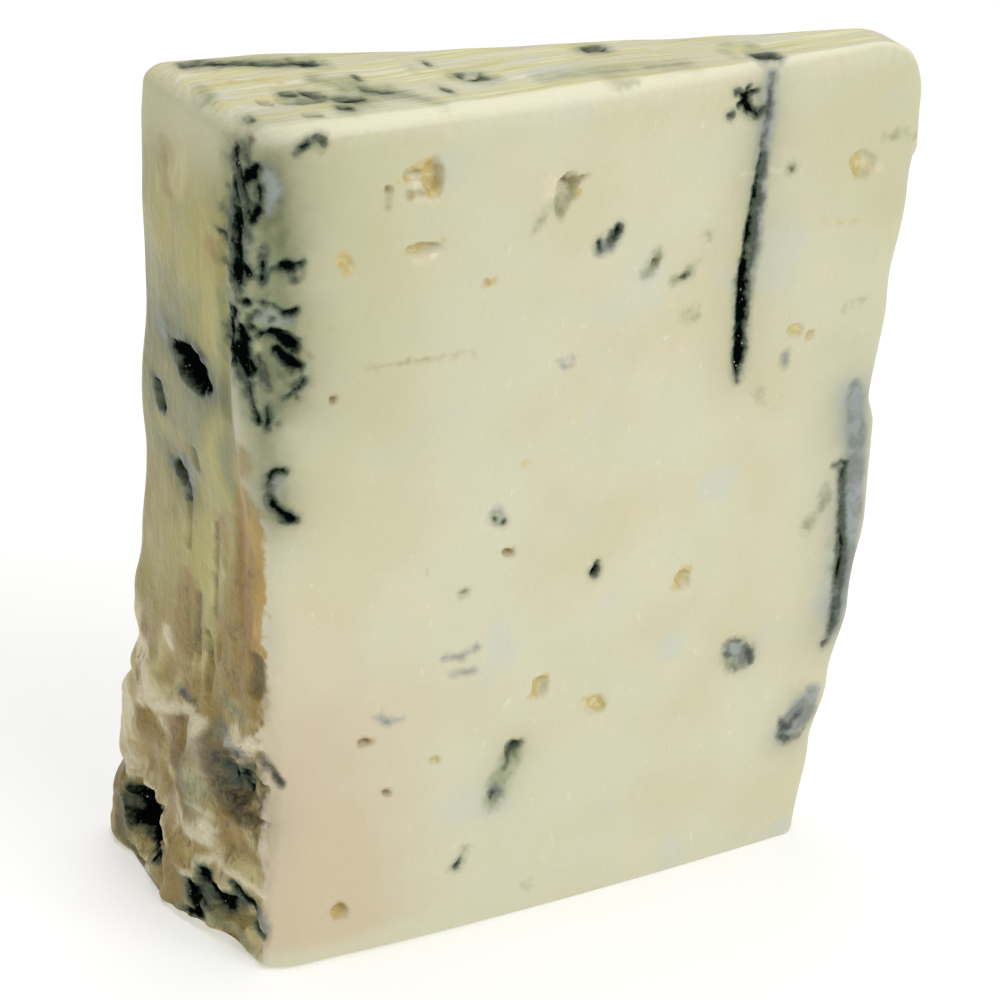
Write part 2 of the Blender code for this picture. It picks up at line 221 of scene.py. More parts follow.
# The marks on the cheese. Each stroke is (kind, places along it, radius or radii in millimetres).
# On the front its places are (along, up), on the rind end (behind the front edge, up),
# on the top (along, behind).
FRONT_STROKES = [
    # The long needle channel near the point.
    ("mould", [(56.6, 102.0), (58.0, 101.1), (59.4, 101.7)], (0.25, 0.4, 0.3)),
    ("mould", [(58.2, 102.2), (58.5, 99.7), (59.7, 98.8), (60.4, 99.6)], (0.2, 0.5, 0.45, 0.25)),
    ("mould", [(57.3, 100.2), (58.3, 100.6)], (0.25, 0.45)),
    ("mould", [(56.0, 99.3), (56.3, 99.5)], (0.15, 0.2)),
    ("mould", [(60.5, 96.6), (60.5, 94.5), (60.4, 91.5), (60.1, 88.5), (59.7, 85.0), (59.2, 81.5), (59.2, 79.5),
               (59.4, 76.5), (59.4, 72.5), (59.3, 69.0), (59.3, 66.6)],
     (0.0, 0.1, 0.22, 0.3, 0.36, 0.4, 0.66, 0.74, 0.78, 0.62, 0.1)),
    ("halo", [(61.0, 103.5), (61.1, 99.0), (60.8, 94.0), (60.9, 89.5), (60.9, 84.5), (60.6, 80.5)],
     (0.7, 0.9, 0.8, 0.75, 0.9, 0.6)),
    ("stain", [(61.0, 103.2), (61.0, 99.0), (60.7, 95.0)], (0.3, 0.42, 0.3)),
    ("stain", [(60.9, 94.0), (60.7, 90.0), (60.4, 85.0), (60.0, 81.0)], (0.3, 0.62, 0.7, 0.5)),
    ("halo", [(59.4, 79.0), (59.4, 67.0)], (1.3, 0.6)),
    ("white", [(58.3, 92.1), (60.0, 91.8), (61.5, 92.2), (63.0, 91.7), (66.3, 91.0)], 0.07),
    # The channel in the edge by the point.
    ("halo", [(76.4, 62.4), (77.0, 59.0), (77.6, 55.5), (77.8, 50.7), (77.9, 46.2), (78.0, 41.5), (78.0, 38.2),
              (77.7, 35.0), (77.2, 31.9), (76.7, 28.6)], (0.7, 1.1, 1.3, 1.4, 1.4, 1.3, 1.2, 1.1, 0.9, 0.6)),
    ("stain", [(74.5, 52.1), (75.4, 51.9)], 0.35),
    ("stain", [(75.7, 51.5), (76.1, 46.1), (76.7, 41.4), (76.9, 38.0), (76.6, 34.4), (76.4, 30.7),
               (76.0, 27.9)], (0.55, 0.65, 0.85, 0.95, 0.9, 0.75, 0.6)),
    ("mould", [(75.6, 52.3), (76.1, 52.0), (75.9, 50.2)], (0.22, 0.25, 0.12)),
    ("mould", [(76.0, 46.2), (76.2, 42.9), (77.0, 40.6), (76.8, 39.0), (76.5, 36.3)],
     (0.1, 0.16, 0.4, 0.25, 0.2)),
    ("mould", [(76.3, 32.1), (76.2, 30.3)], 0.22), ("mould", [(75.7, 27.2), (75.2, 27.1)], 0.25),
    ("green", [(74.8, 41.3), (75.9, 41.6)], 0.26), ("green", [(75.3, 37.9)], 0.35),
    ("green", [(73.4, 48.9)], 0.5), ("green", [(73.7, 47.8), (72.6, 46.0), (71.3, 44.6)], (0.5, 0.5, 0.8)),
    # The blotch at the lower right and the growths above it.
    ("halo", [(70.6, 15.9), (72.8, 17.9), (74.2, 20.4)], (1.7, 2.2, 1.2)),
    ("stain", [(69.3, 15.4), (70.4, 14.5), (72.4, 14.5), (73.2, 15.4)], (0.3, 0.45, 0.35, 0.2)),
    ("stain", [(69.4, 18.0), (69.8, 16.4), (71.2, 15.8), (72.8, 18.4)], (0.3, 0.6, 0.55, 0.25)),
    ("mould", [(69.9, 15.0), (70.9, 14.5)], 0.22), ("green", [(62.4, 28.8)], 2.3),
    ("halo", [(61.4, 29.8), (63.4, 28.2)], 1.2),
    ("stain", [(60.1, 30.7), (61.3, 31.1), (62.6, 30.5)], (0.15, 0.25, 0.15)),
    ("stain", [(60.8, 29.2), (62.1, 28.5), (62.0, 26.9)], (0.2, 0.35, 0.25)),
    ("stain", [(63.5, 30.0), (64.1, 28.7), (64.3, 27.2)], (0.15, 0.3, 0.15)),
    ("mould", [(40.1, 86.9), (40.4, 86.0)], 0.16),
    ("mould", [(42.1, 87.1), (42.4, 88.0), (42.5, 88.5)], (0.15, 0.28, 0.16)),
    ("stain", [(40.6, 86.2), (41.3, 86.3), (41.9, 87.2), (42.4, 88.3)], (0.4, 0.36, 0.36, 0.3)),
    ("halo", [(40.4, 86.0), (41.3, 86.0), (42.2, 87.4)], 0.7),
    # The torn hollow near the top.
    ("white", [(33.4, 93.6), (33.9, 95.0)], 0.7),
    ("green", [(33.6, 92.0), (32.9, 90.6), (32.0, 89.4)], (0.55, 0.35, 0.12)),
    ("green", [(35.3, 93.2), (35.1, 92.3), (34.9, 91.2)], (0.5, 0.65, 0.55)),
    ("green", [(36.4, 94.1), (36.3, 92.8)], 0.4), ("ochre", [(36.9, 93.3)], 0.5),
    ("brown", [(35.5, 94.9), (36.4, 94.3), (37.2, 94.7), (38.2, 95.2)], (0.4, 0.3, 0.2, 0.12)),
    ("dark", [(35.6, 94.8), (36.2, 94.3)], 0.22), ("dark", [(37.6, 95.0)], 0.18),
    ("white", [(34.6, 96.3), (35.0, 95.0), (35.1, 93.8), (34.4, 92.3), (34.5, 91.0)], 0.17),
    ("green", [(47.7, 84.2), (47.0, 83.0), (46.2, 81.6)], (0.5, 0.6, 0.3)), ("brown", [(47.4, 83.3)], 0.35),
    ("green", [(50.0, 80.6), (51.4, 81.0), (52.9, 82.4)], (0.4, 0.5, 0.25)),
    ("mould", [(50.9, 80.8), (51.9, 81.1)], (0.1, 0.14)), ("green", [(52.4, 76.1)], 0.9),
    ("halo", [(35.7, 73.4), (36.4, 72.5), (37.2, 73.3)], 0.3), ("green", [(54.4, 85.4)], 0.5),
    # Yellow pits, slits and crumbs; the white lips by the pits are partly pale crumb and partly painted
    # highlight.
    ("ochre", [(19.5, 98.9), (19.8, 97.6), (19.9, 96.1)], (0.7, 0.95, 0.85)),
    ("ochre", [(17.4, 98.4), (18.3, 98.8)], (0.4, 0.5)), ("ochre", [(16.0, 97.4), (16.9, 97.6)], (0.35, 0.25)),
    ("brown", [(14.7, 96.7)], 0.27), ("brown", [(14.8, 94.9)], 0.15), ("brown", [(17.3, 95.7)], 0.25),
    ("brown", [(17.5, 98.1), (18.8, 98.1), (19.4, 98.6)], (0.19, 0.12, 0.1)),
    ("brown", [(18.4, 95.8), (20.2, 95.3), (20.7, 95.9), (20.6, 98.2)], (0.15, 0.17, 0.15, 0.1)),
    ("white", [(17.6, 97.3), (18.3, 97.1)], (0.46, 0.5)), ("white", [(18.2, 95.0), (20.2, 94.7)], 0.3),
    ("ochre", [(17.4, 89.5), (18.6, 89.5), (20.0, 89.8), (21.2, 90.1)], (0.33, 0.33, 0.2, 0.22)),
    ("white", [(17.6, 88.2), (19.0, 87.9), (20.4, 88.4)], 0.4), ("ochre", [(9.6, 89.6), (10.0, 88.8)], 0.8),
    ("ochre", [(25.8, 84.1), (26.6, 84.2), (27.4, 84.5)], 0.17), ("brown", [(8.4, 73.5)], 0.32),
    ("brown", [(12.7, 76.4), (19.0, 76.5), (25.8, 75.9)], 0.05),
    ("ochre", [(69.5, 84.3), (74.0, 83.6), (78.8, 82.8)], (0.1, 0.2, 0.2)),
    ("green", [(77.6, 93.6), (80.0, 93.4), (82.3, 92.7)], (0.1, 0.3, 0.25)),
    ("ochre", [(74.0, 91.2), (74.3, 89.4)], (0.9, 0.7)), ("white", [(75.7, 90.3), (77.0, 89.6)], (0.7, 0.5)),
    ("green", [(65.0, 91.4)], 0.5), ("mould", [(65.0, 91.5)], 0.08),
    ("ochre", [(66.4, 71.6), (67.4, 71.2)], 0.5), ("ochre", [(69.0, 70.2), (69.4, 70.6)], 0.4),
    ("halo", [(65.9, 68.4), (65.9, 67.2)], 0.45), ("green", [(62.1, 64.9), (62.8, 64.4)], 0.35),
    ("green", [(63.3, 63.1)], 0.3), ("green", [(74.2, 72.8), (75.4, 73.1), (76.6, 73.7)], 0.28),
    ("halo", [(27.9, 55.9), (28.8, 56.3), (29.3, 54.8), (28.5, 54.6)], 0.35), ("mould", [(28.2, 55.0)], 0.1),
    ("mould", [(29.4, 54.3)], 0.12), ("brown", [(29.7, 50.4), (30.5, 50.2)], 0.3),
    ("ochre", [(31.6, 61.4), (32.2, 61.0)], 0.35), ("stain", [(19.8, 50.1)], 0.17),
    ("stain", [(24.3, 46.6)], 0.26), ("green", [(24.4, 46.5)], 0.6),
    ("mould", [(41.4, 45.3), (41.8, 46.5)], (0.45, 0.12)), ("halo", [(41.5, 45.4)], 0.7),
    ("ochre", [(53.0, 40.7), (54.1, 42.3)], (0.7, 0.8)), ("white", [(54.9, 41.4)], 0.5),
    ("halo", [(22.2, 38.5), (24.4, 38.1), (26.2, 38.9)], 0.3), ("halo", [(23.0, 36.1), (25.8, 35.9)], 0.3),
    ("white", [(21.5, 37.2), (23.4, 37.7), (25.6, 37.4), (27.0, 38.0)], 0.08),
    ("halo", [(13.8, 32.4), (15.0, 31.2), (16.8, 31.5)], 0.4),
    ("ochre", [(33.8, 30.7), (35.5, 32.6)], (0.75, 0.6)), ("ochre", [(41.4, 27.8), (43.0, 26.9)], 0.9),
    ("brown", [(11.8, 29.3), (12.9, 29.2)], 0.35), ("ochre", [(20.8, 24.9), (21.4, 24.7)], 0.35),
    ("brown", [(14.8, 21.8), (15.3, 21.6)], 0.22), ("brown", [(8.2, 7.2), (8.9, 7.9), (9.5, 7.2)], 0.3),
    ("ochre", [(8.8, 6.8)], 1.0),
    # The leaning vein low in the middle.
    ("green", [(31.6, 24.2), (30.8, 21.6), (29.4, 18.6), (28.6, 16.6)], (0.9, 1.3, 1.4, 0.8)),
    ("stain", [(32.1, 24.4), (31.5, 23.4), (30.8, 22.6), (30.4, 21.0)], (0.42, 0.5, 0.36, 0.15)),
    ("mould", [(31.9, 24.3), (31.3, 23.4)], 0.16), ("halo", [(29.3, 18.3)], 1.0),
    ("mould", [(28.7, 17.2), (29.0, 17.9)], 0.14), ("green", [(24.1, 9.0), (25.3, 11.2)], (0.6, 0.35)),
    ("mould", [(24.1, 9.2), (24.7, 10.2)], (0.3, 0.15)), ("green", [(33.6, 3.8), (34.6, 3.6)], 0.3),
    ("stain", [(4.3, 101.9), (5.1, 102.7), (6.0, 103.0), (6.9, 103.4), (7.5, 102.7)],
     (0.15, 0.25, 0.25, 0.4, 0.2)),
    ("mould", [(5.1, 102.6), (5.8, 102.9)], 0.17), ("mould", [(6.7, 103.6), (7.3, 102.9)], 0.2),
    ("green", [(4.6, 102.4), (6.9, 103.2)], 0.8),
]
# The old vein down the corner between the cut face and the rind end, in places on the wedge itself.
CORNER_STROKES = [
    # The olive haze that the strands stand in.
    ("green", [(-0.6, 3.2, 102.6), (-0.7, 2.7, 98.0), (-0.9, 2.5, 93.0), (-1.1, 2.3, 88.0), (-0.9, 2.0, 83.0),
               (-0.9, 2.0, 78.0), (-0.1, 0.6, 73.0)], (0.8, 1.5, 1.6, 1.5, 1.7, 1.5, 0.8)),
    ("stain", [(-0.9, 3.0, 101.6), (-0.9, 2.6, 98.0), (-1.0, 2.3, 94.0), (-1.1, 2.1, 90.0), (-1.2, 2.2, 87.0)],
     (0.3, 0.7, 0.85, 0.95, 0.6)),
    ("green", [(0.8, 0.1, 91.5), (1.4, -0.1, 86.5), (2.6, -0.3, 83.0)], (0.9, 1.0, 1.4)),
    ("stain", [(-1.2, 2.2, 83.4), (-1.2, 2.1, 80.0), (-1.0, 1.7, 77.0)], (0.5, 1.0, 0.6)),
    # The upper strands, from the top corner down.
    ("dark", [(-0.1, 2.4, 103.1), (0.2, 2.2, 103.6)], (0.33, 0.38)),
    ("mould", [(-0.3, 2.9, 102.7), (-0.2, 2.3, 102.3), (-0.2, 1.9, 101.2)], (0.15, 0.19, 0.17)),
    ("mould", [(-0.6, 3.7, 102.4), (-0.8, 4.1, 101.3)], (0.12, 0.21)),
    ("mould", [(-0.8, 4.0, 101.2), (-0.7, 3.1, 100.1), (-0.7, 2.3, 98.9), (-0.6, 1.6, 97.6), (-0.4, 1.1, 95.8)],
     (0.25, 0.29, 0.25, 0.29, 0.33)),
    ("mould", [(-0.9, 4.2, 101.0), (-1.0, 3.9, 99.6), (-1.0, 3.3, 98.0), (-1.0, 2.5, 96.7)],
     (0.2, 0.24, 0.24, 0.32)),
    ("mould", [(0.3, 1.2, 100.7), (-0.1, 1.4, 99.8), (-0.5, 2.0, 99.2)], (0.54, 0.71, 0.42)),
    ("mould", [(0.5, 0.6, 99.0), (0.6, 0.4, 97.6), (0.4, 0.4, 96.3), (-0.2, 0.8, 95.2), (-0.6, 1.2, 95.2)],
     (0.25, 0.25, 0.38, 0.54, 0.25)),
    ("stain", [(-1.3, 3.9, 97.4), (-1.4, 3.8, 95.1), (-1.5, 3.5, 93.0), (-1.5, 3.2, 91.0), (-1.4, 2.9, 89.4)],
     (0.4, 0.75, 0.75, 0.6, 0.4)),
    ("stain", [(-0.6, 1.6, 99.6), (-0.8, 1.8, 97.8), (-0.9, 1.7, 96.0)], (0.5, 0.45, 0.5)),
    ("mould", [(-1.0, 2.3, 96.0), (-1.1, 2.0, 94.3), (-1.2, 2.1, 92.0), (-1.1, 2.0, 90.5), (-1.3, 2.1, 89.0),
               (-1.4, 2.3, 87.8), (-1.2, 1.9, 87.1)], (0.3, 0.48, 0.42, 0.48, 0.6, 0.55, 0.3)),
    ("mould", [(-0.9, 1.3, 89.9), (-0.5, 0.9, 89.1)], (0.5, 0.46)),
    ("stain", [(-0.5, 1.0, 94.0), (-0.4, 0.8, 92.4)], (0.33, 0.29)),
    ("mould", [(-1.9, 6.2, 92.5), (-1.8, 5.5, 92.2), (-1.7, 4.8, 91.7)], (0.06, 0.17, 0.12)),
    ("mould", [(-1.7, 4.5, 89.0)], 0.27),
    ("halo", [(1.4, 0.3, 101.1), (1.4, 0.2, 99.7), (1.8, 0.0, 98.4), (1.4, 0.0, 96.5)], (0.35, 0.9, 1.1, 0.55)),
    # The bar and the black block beside it.
    ("stain", [(0.8, 0.0, 92.1), (0.6, 0.0, 90.2), (0.7, 0.0, 88.2)], (0.46, 0.54, 0.46)),
    ("mould", [(0.7, 0.0, 90.6), (0.6, 0.0, 88.6)], (0.21, 0.25)),
    ("mould", [(1.8, -0.3, 89.7), (3.1, -0.3, 89.9), (3.8, -0.4, 89.6), (4.7, -0.4, 89.8)],
     (0.33, 0.62, 0.7, 0.33)),
    ("stain", [(5.0, -0.4, 89.6), (5.1, -0.5, 88.4), (4.2, -0.4, 88.2)], (0.33, 0.38, 0.54)),
    # The growths above the ring.
    ("mould", [(-0.7, 1.1, 85.9)], 0.46), ("mould", [(1.8, -0.2, 84.0)], 0.25),
    ("mould", [(0.7, 0.0, 85.9), (1.6, -0.2, 85.7), (2.3, -0.3, 85.1), (3.1, -0.3, 84.5), (4.3, -0.4, 84.5)],
     (0.27, 0.17, 0.25, 0.29, 0.38)),
    ("mould", [(0.1, 0.3, 84.9), (-0.4, 0.8, 84.3), (-0.6, 0.9, 83.6), (-0.2, 0.6, 82.9)],
     (0.21, 0.17, 0.12, 0.17)),
    ("halo", [(0.4, 0.1, 84.5), (2.0, -0.2, 84.2), (3.8, -0.3, 83.6)], (0.8, 0.95, 0.6)),
    # The black slit left of the ring, and the ring itself.
    ("mould", [(-1.5, 2.8, 84.3), (-1.6, 3.7, 82.2), (-1.6, 3.9, 79.8), (-1.5, 3.1, 78.2)], 0.45),
    ("mould", [(-1.2, 2.0, 82.7), (-1.2, 1.8, 80.6), (-1.1, 1.7, 78.7), (-0.9, 1.3, 77.6)],
     (0.5, 0.8, 0.76, 0.5)),
    ("mould", [(-0.7, 1.1, 81.5)], 0.42),
    ("white", [(-1.1, 1.7, 84.2), (-0.7, 1.1, 83.2), (0.0, 0.5, 81.8), (0.4, 0.2, 80.3)],
     (0.17, 0.19, 0.19, 0.15)),
    ("mould", [(0.6, 0.1, 82.2), (1.6, -0.2, 82.3), (2.7, -0.3, 81.8), (4.1, -0.4, 80.3), (4.6, -0.4, 79.7)],
     (0.5, 0.62, 0.67, 0.83, 0.46)),
    ("mould", [(2.6, -0.3, 80.0), (4.0, -0.4, 78.2), (4.7, -0.4, 78.0)], (0.46, 0.71, 0.5)),
    ("stain", [(0.3, 0.3, 79.3), (0.9, 0.0, 77.1), (1.2, -0.1, 76.1)], (0.54, 0.67, 0.46)),
    ("green", [(2.0, -0.3, 79.5), (2.8, -0.3, 77.6), (2.7, -0.3, 76.3)], (0.9, 1.1, 0.7)),
    ("mould", [(5.2, -0.5, 76.2), (4.5, -0.5, 75.5), (3.6, -0.4, 74.9), (2.8, -0.4, 74.6)],
     (0.38, 0.29, 0.17, 0.12)),
    ("mould", [(4.0, -0.5, 75.1), (4.4, -0.5, 74.4)], (0.17, 0.19)),
    ("stain", [(5.1, -0.5, 76.4), (4.1, -0.5, 75.6)], 0.46),
    # The tails below it.
    ("mould", [(-0.5, 0.8, 79.1), (-0.2, 0.5, 78.1)], (0.25, 0.29)),
    ("white", [(-0.5, 0.7, 77.9), (-0.3, 0.6, 76.3), (-0.2, 0.5, 74.8)], (0.29, 0.17, 0.12)),
    ("mould", [(-0.6, 0.9, 76.6), (-0.5, 0.8, 74.7), (-0.1, 0.5, 73.0), (0.2, 0.3, 72.0)],
     (0.19, 0.21, 0.27, 0.38)),
    ("mould", [(1.0, -0.1, 73.8), (1.1, -0.2, 72.6), (1.0, -0.2, 71.3)], (0.25, 0.4, 0.27)),
    ("mould", [(2.1, -0.4, 71.7)], 0.12),
    # The hooked growth lower down.
    ("mould", [(2.9, -0.4, 65.8), (2.0, -0.3, 66.1), (1.4, -0.1, 65.3), (1.2, 0.2, 64.0)],
     (0.31, 0.38, 0.25, 0.21)),
    ("stain", [(1.9, -0.3, 65.9), (1.3, 0.0, 64.9), (1.4, 0.2, 63.1), (1.7, 0.1, 61.5)], 0.5),
    ("halo", [(2.4, -0.4, 65.2), (1.9, -0.2, 63.8), (2.1, -0.1, 62.3)], (0.62, 0.71, 0.54)),
    ("mould", [(1.5, 0.2, 62.5), (2.0, 0.0, 61.1), (3.0, -0.3, 60.2), (3.9, -0.5, 59.7)],
     (0.21, 0.54, 0.71, 0.42)),
    ("brown", [(-0.8, 2.4, 67.8), (-0.7, 2.3, 66.6), (-0.6, 3.3, 64.5)], (0.42, 0.58, 0.42)),
    ("brown", [(-0.2, 2.9, 62.3)], 0.19),
    # The pale rim of the cut face against the browned rind, and the dark hook over it.
    ("rim", [(1.4, -0.1, 50.5), (1.5, -0.1, 45.2), (1.4, -0.1, 42.9)], (0.1, 0.25, 0.2)),
    ("rim", [(0.5, 0.0, 36.8), (0.1, 0.3, 34.6), (0.4, 0.1, 32.2)], 0.22),
    ("rim", [(0.3, 0.1, 24.0), (0.3, 0.1, 19.4), (0.1, 0.2, 15.4), (0.2, 0.1, 11.7)], 0.16),
    ("stain", [(0.4, 0.0, 29.2), (1.2, -0.6, 27.5), (2.2, -1.0, 25.8)], (0.5, 0.42, 0.42)),
    ("dark", [(0.8, -0.3, 28.5), (2.0, -0.9, 26.4)], 0.2),
]
RIND_STROKES = [
    # Holes lined with mould, high on the rind.
    ("mould", [(17.3, 74.8)], 0.42),
    ("mould", [(16.4, 74.2), (14.6, 74.0), (12.8, 73.4), (10.8, 72.6)], (0.8, 1.3, 1.6, 1.1)),
    ("mould", [(15.6, 72.8), (13.6, 72.0), (11.4, 71.6)], (0.6, 1.0, 0.8)),
    ("stain", [(12.5, 76.4), (13.8, 75.1), (11.0, 75.8)], 0.7),
    ("stain", [(16.6, 73.3), (14.2, 71.9), (10.9, 71.7)], 0.7),
    ("halo", [(21.0, 76.4), (21.0, 75.0), (19.8, 74.4)], (0.29, 0.54, 0.33)),
    ("mould", [(22.0, 68.0), (21.3, 66.6), (20.9, 65.1)], (0.28, 0.5, 0.36)),
    ("stain", [(22.3, 68.1), (21.2, 64.7)], 0.5),
    ("mould", [(18.6, 58.7), (18.1, 58.1), (17.8, 57.6)], (0.5, 0.7, 0.4)),
    ("stain", [(19.2, 58.7), (18.6, 57.7), (17.9, 56.9)], (0.71, 0.92, 0.62)),
    ("halo", [(16.7, 60.5), (15.4, 59.6), (16.3, 57.5), (16.9, 55.7)], (0.5, 0.62, 0.54, 0.21)),
    ("dark", [(13.8, 62.9), (13.8, 61.6), (13.6, 60.4)], (0.12, 0.2, 0.12)),
    ("brown", [(17.2, 62.2), (16.4, 61.8)], 0.48), ("mould", [(16.5, 57.2), (16.7, 55.3)], 0.15),
    ("ochre", [(7.1, 82.8)], 0.33), ("ochre", [(7.9, 77.5)], 0.21), ("brown", [(5.0, 59.5), (5.9, 57.3)], 0.42),
    ("dark", [(16.5, 61.0), (16.2, 55.0), (16.6, 49.0)], (0.04, 0.1, 0.04)),
    ("dark", [(10.4, 55.0), (10.9, 48.0), (10.6, 43.0)], (0.04, 0.12, 0.05)),
    ("brown", [(19.5, 60.0), (19.8, 52.0)], (0.3, 0.45)), ("brown", [(9.4, 56.0), (8.6, 50.0)], (0.25, 0.3)),
    ("brown", [(18.0, 98.0), (17.4, 92.5)], (0.3, 0.5)), ("brown", [(7.4, 91.0), (6.6, 89.0)], (0.3, 0.45)),
    # Browned patches and cream between them.
    ("brown", [(17.2, 45.0), (17.2, 39.0), (17.2, 35.8), (17.4, 32.5)], (0.8, 1.1, 1.2, 0.75)),
    ("brown", [(20.0, 32.7), (20.7, 29.6)], (0.6, 0.75)),
    ("white", [(25.1, 28.4), (24.6, 26.5), (25.5, 24.1)], (0.85, 1.1, 0.75)), ("stain", [(16.3, 29.8)], 0.8),
    ("white", [(23.9, 24.3), (19.4, 26.6), (14.9, 28.3), (12.2, 28.4), (12.8, 26.5)],
     (0.5, 0.65, 0.8, 0.8, 0.55)),
    ("brown", [(24.8, 22.2), (23.7, 19.6), (26.0, 15.1)], (1.2, 1.6, 1.0)),
    ("brown", [(18.4, 24.2), (17.5, 22.5)], (1.2, 0.85)),
    ("brown", [(20.1, 16.0), (19.3, 13.4), (18.9, 10.5)], (1.1, 0.9, 0.65)),
    ("green", [(13.0, 19.8), (14.0, 16.4)], (1.1, 0.75)), ("brown", [(14.3, 23.5), (13.7, 22.2)], 0.55),
    ("brown", [(15.0, 8.1), (15.6, 4.6), (15.1, 2.4)], (1.0, 1.1, 0.75)),
    ("white", [(31.2, 24.0), (31.4, 17.0), (30.9, 12.5), (29.8, 10.6)], (0.5, 0.8, 0.85, 0.6)),
    ("white", [(13.9, 12.0), (11.3, 12.9), (10.0, 15.2)], (0.65, 1.1, 0.75)),
    ("white", [(15.1, 15.8), (12.2, 16.7), (10.3, 16.7)], (0.15, 0.25, 0.4)), ("white", [(12.9, 6.7)], 0.75),
    # Cracks, and the wet orange strip beside the cut face.
    ("dark", [(12.2, 40.1), (11.1, 39.3), (11.2, 37.2), (10.6, 36.3)], (0.12, 0.17, 0.2, 0.17)),
    ("dark", [(14.6, 44.0), (14.6, 40.4), (14.5, 38.5), (14.9, 36.4)], (0.1, 0.23, 0.23, 0.12)),
    ("dark", [(11.5, 26.3), (9.9, 28.3)], 0.16),
    ("dark", [(8.0, 26.2), (7.4, 25.4), (6.4, 27.7)], (0.17, 0.2, 0.12)),
    ("brown", [(10.6, 35.9), (10.6, 32.9), (9.9, 31.1)], (0.55, 0.65, 0.5)),
    ("brown", [(5.6, 60.0), (4.4, 52.0), (6.4, 44.4), (6.4, 39.3), (5.8, 35.7)], (0.3, 1.2, 1.4, 1.5, 1.2)),
    ("green", [(6.6, 32.9)], 1.1), ("brown", [(2.3, 37.9), (2.0, 35.0), (0.5, 33.7)], (1.1, 1.0, 0.45)),
    ("dark", [(2.1, 41.4), (1.6, 39.3), (1.8, 37.1)], (0.65, 0.7, 0.55)),
    # The torn pit beside the cut face.
    ("halo", [(7.9, 29.5), (6.8, 28.0), (7.0, 26.7)], (0.65, 0.85, 0.4)),
    ("dark", [(8.7, 24.8), (7.6, 22.8), (7.0, 20.9)], (1.2, 1.8, 1.4)),
    ("mould", [(8.2, 24.2), (7.3, 23.4), (7.3, 21.8)], (0.2, 0.3, 0.2)),
    ("mould", [(5.9, 24.4), (6.1, 22.4), (5.4, 21.8)], (0.25, 0.3, 0.2)),
    ("dark", [(6.0, 24.6), (3.4, 26.0), (1.6, 24.9)], (0.75, 0.85, 0.6)),
    ("dark", [(0.9, 27.2), (1.0, 21.9)], (0.3, 0.35)), ("dark", [(3.4, 22.3)], 0.44),
    ("dark", [(7.8, 20.4), (6.8, 18.5)], (0.9, 0.7)),
    ("white", [(7.4, 25.6), (6.1, 25.4), (3.2, 26.8)], (0.3, 0.42, 0.25)),
    ("white", [(6.4, 28.7), (5.4, 27.6), (1.9, 30.8)], (0.5, 0.75, 0.65)),
    ("brown", [(6.4, 20.4), (3.7, 20.8)], (1.1, 0.9)), ("dark", [(5.8, 18.4), (1.8, 20.1)], (0.75, 0.55)),
    ("brown", [(7.1, 17.3), (5.6, 14.7), (2.4, 14.5)], (1.3, 1.6, 1.0)),
    # The black cavity at the back, with a yellow flake at its lip.
    ("mould", [(29.6, 8.8), (28.9, 6.8), (27.6, 5.0), (25.4, 4.1), (23.0, 3.9)], (0.4, 1.0, 1.35, 1.25, 0.8)),
    ("mould", [(21.2, 5.4), (20.6, 4.1)], (0.5, 0.3)), ("dark", [(19.5, 7.2)], 0.5),
    ("dark", [(32.3, 6.5), (31.8, 3.5), (30.4, 1.8), (27.3, 0.7), (20.0, 0.4)], (0.5, 0.55, 0.6, 0.65, 0.5)),
    ("ochre", [(26.9, 2.8), (24.0, 3.3), (21.4, 2.8)], (0.45, 0.65, 0.3)),
    ("white", [(25.9, 12.2), (23.3, 11.0), (21.1, 9.4), (18.5, 8.6)], (0.55, 0.65, 0.5, 0.35)),
    # The wet recess above the foot under its pale lip.
    ("white", [(11.7, 8.5), (10.2, 10.3), (8.1, 11.6), (6.0, 11.1), (3.5, 10.6), (1.0, 10.3)],
     (0.45, 0.55, 0.6, 0.6, 0.6, 0.5)),
    ("mould", [(12.8, 5.8), (11.7, 3.8), (10.9, 2.3), (12.8, 1.7)], (0.4, 0.75, 0.6, 0.45)),
    ("mould", [(10.2, 9.0), (9.6, 7.0), (8.8, 5.0)], (0.5, 0.85, 0.8)),
    ("mould", [(10.8, 4.1), (9.7, 3.7)], 0.3), ("mould", [(7.2, 7.2), (7.6, 4.8)], (0.5, 0.55)),
    ("mould", [(5.5, 9.5), (4.4, 8.4), (2.8, 7.9), (3.1, 6.9)], (0.25, 0.5, 0.6, 0.4)),
    ("stain", [(12.2, 5.0), (9.4, 6.0), (4.5, 7.4)], (0.9, 1.5, 1.0)),
    ("mould", [(3.3, 6.2), (2.3, 5.1), (0.7, 4.4), (-0.2, 4.8)], (0.25, 0.22, 0.25, 0.3)),
    ("halo", [(1.5, 7.0), (0.2, 5.9)], (0.65, 0.85)),
    ("green", [(8.6, 3.1), (6.0, 2.7), (3.5, 1.8)], (0.6, 0.85, 0.75)),
]
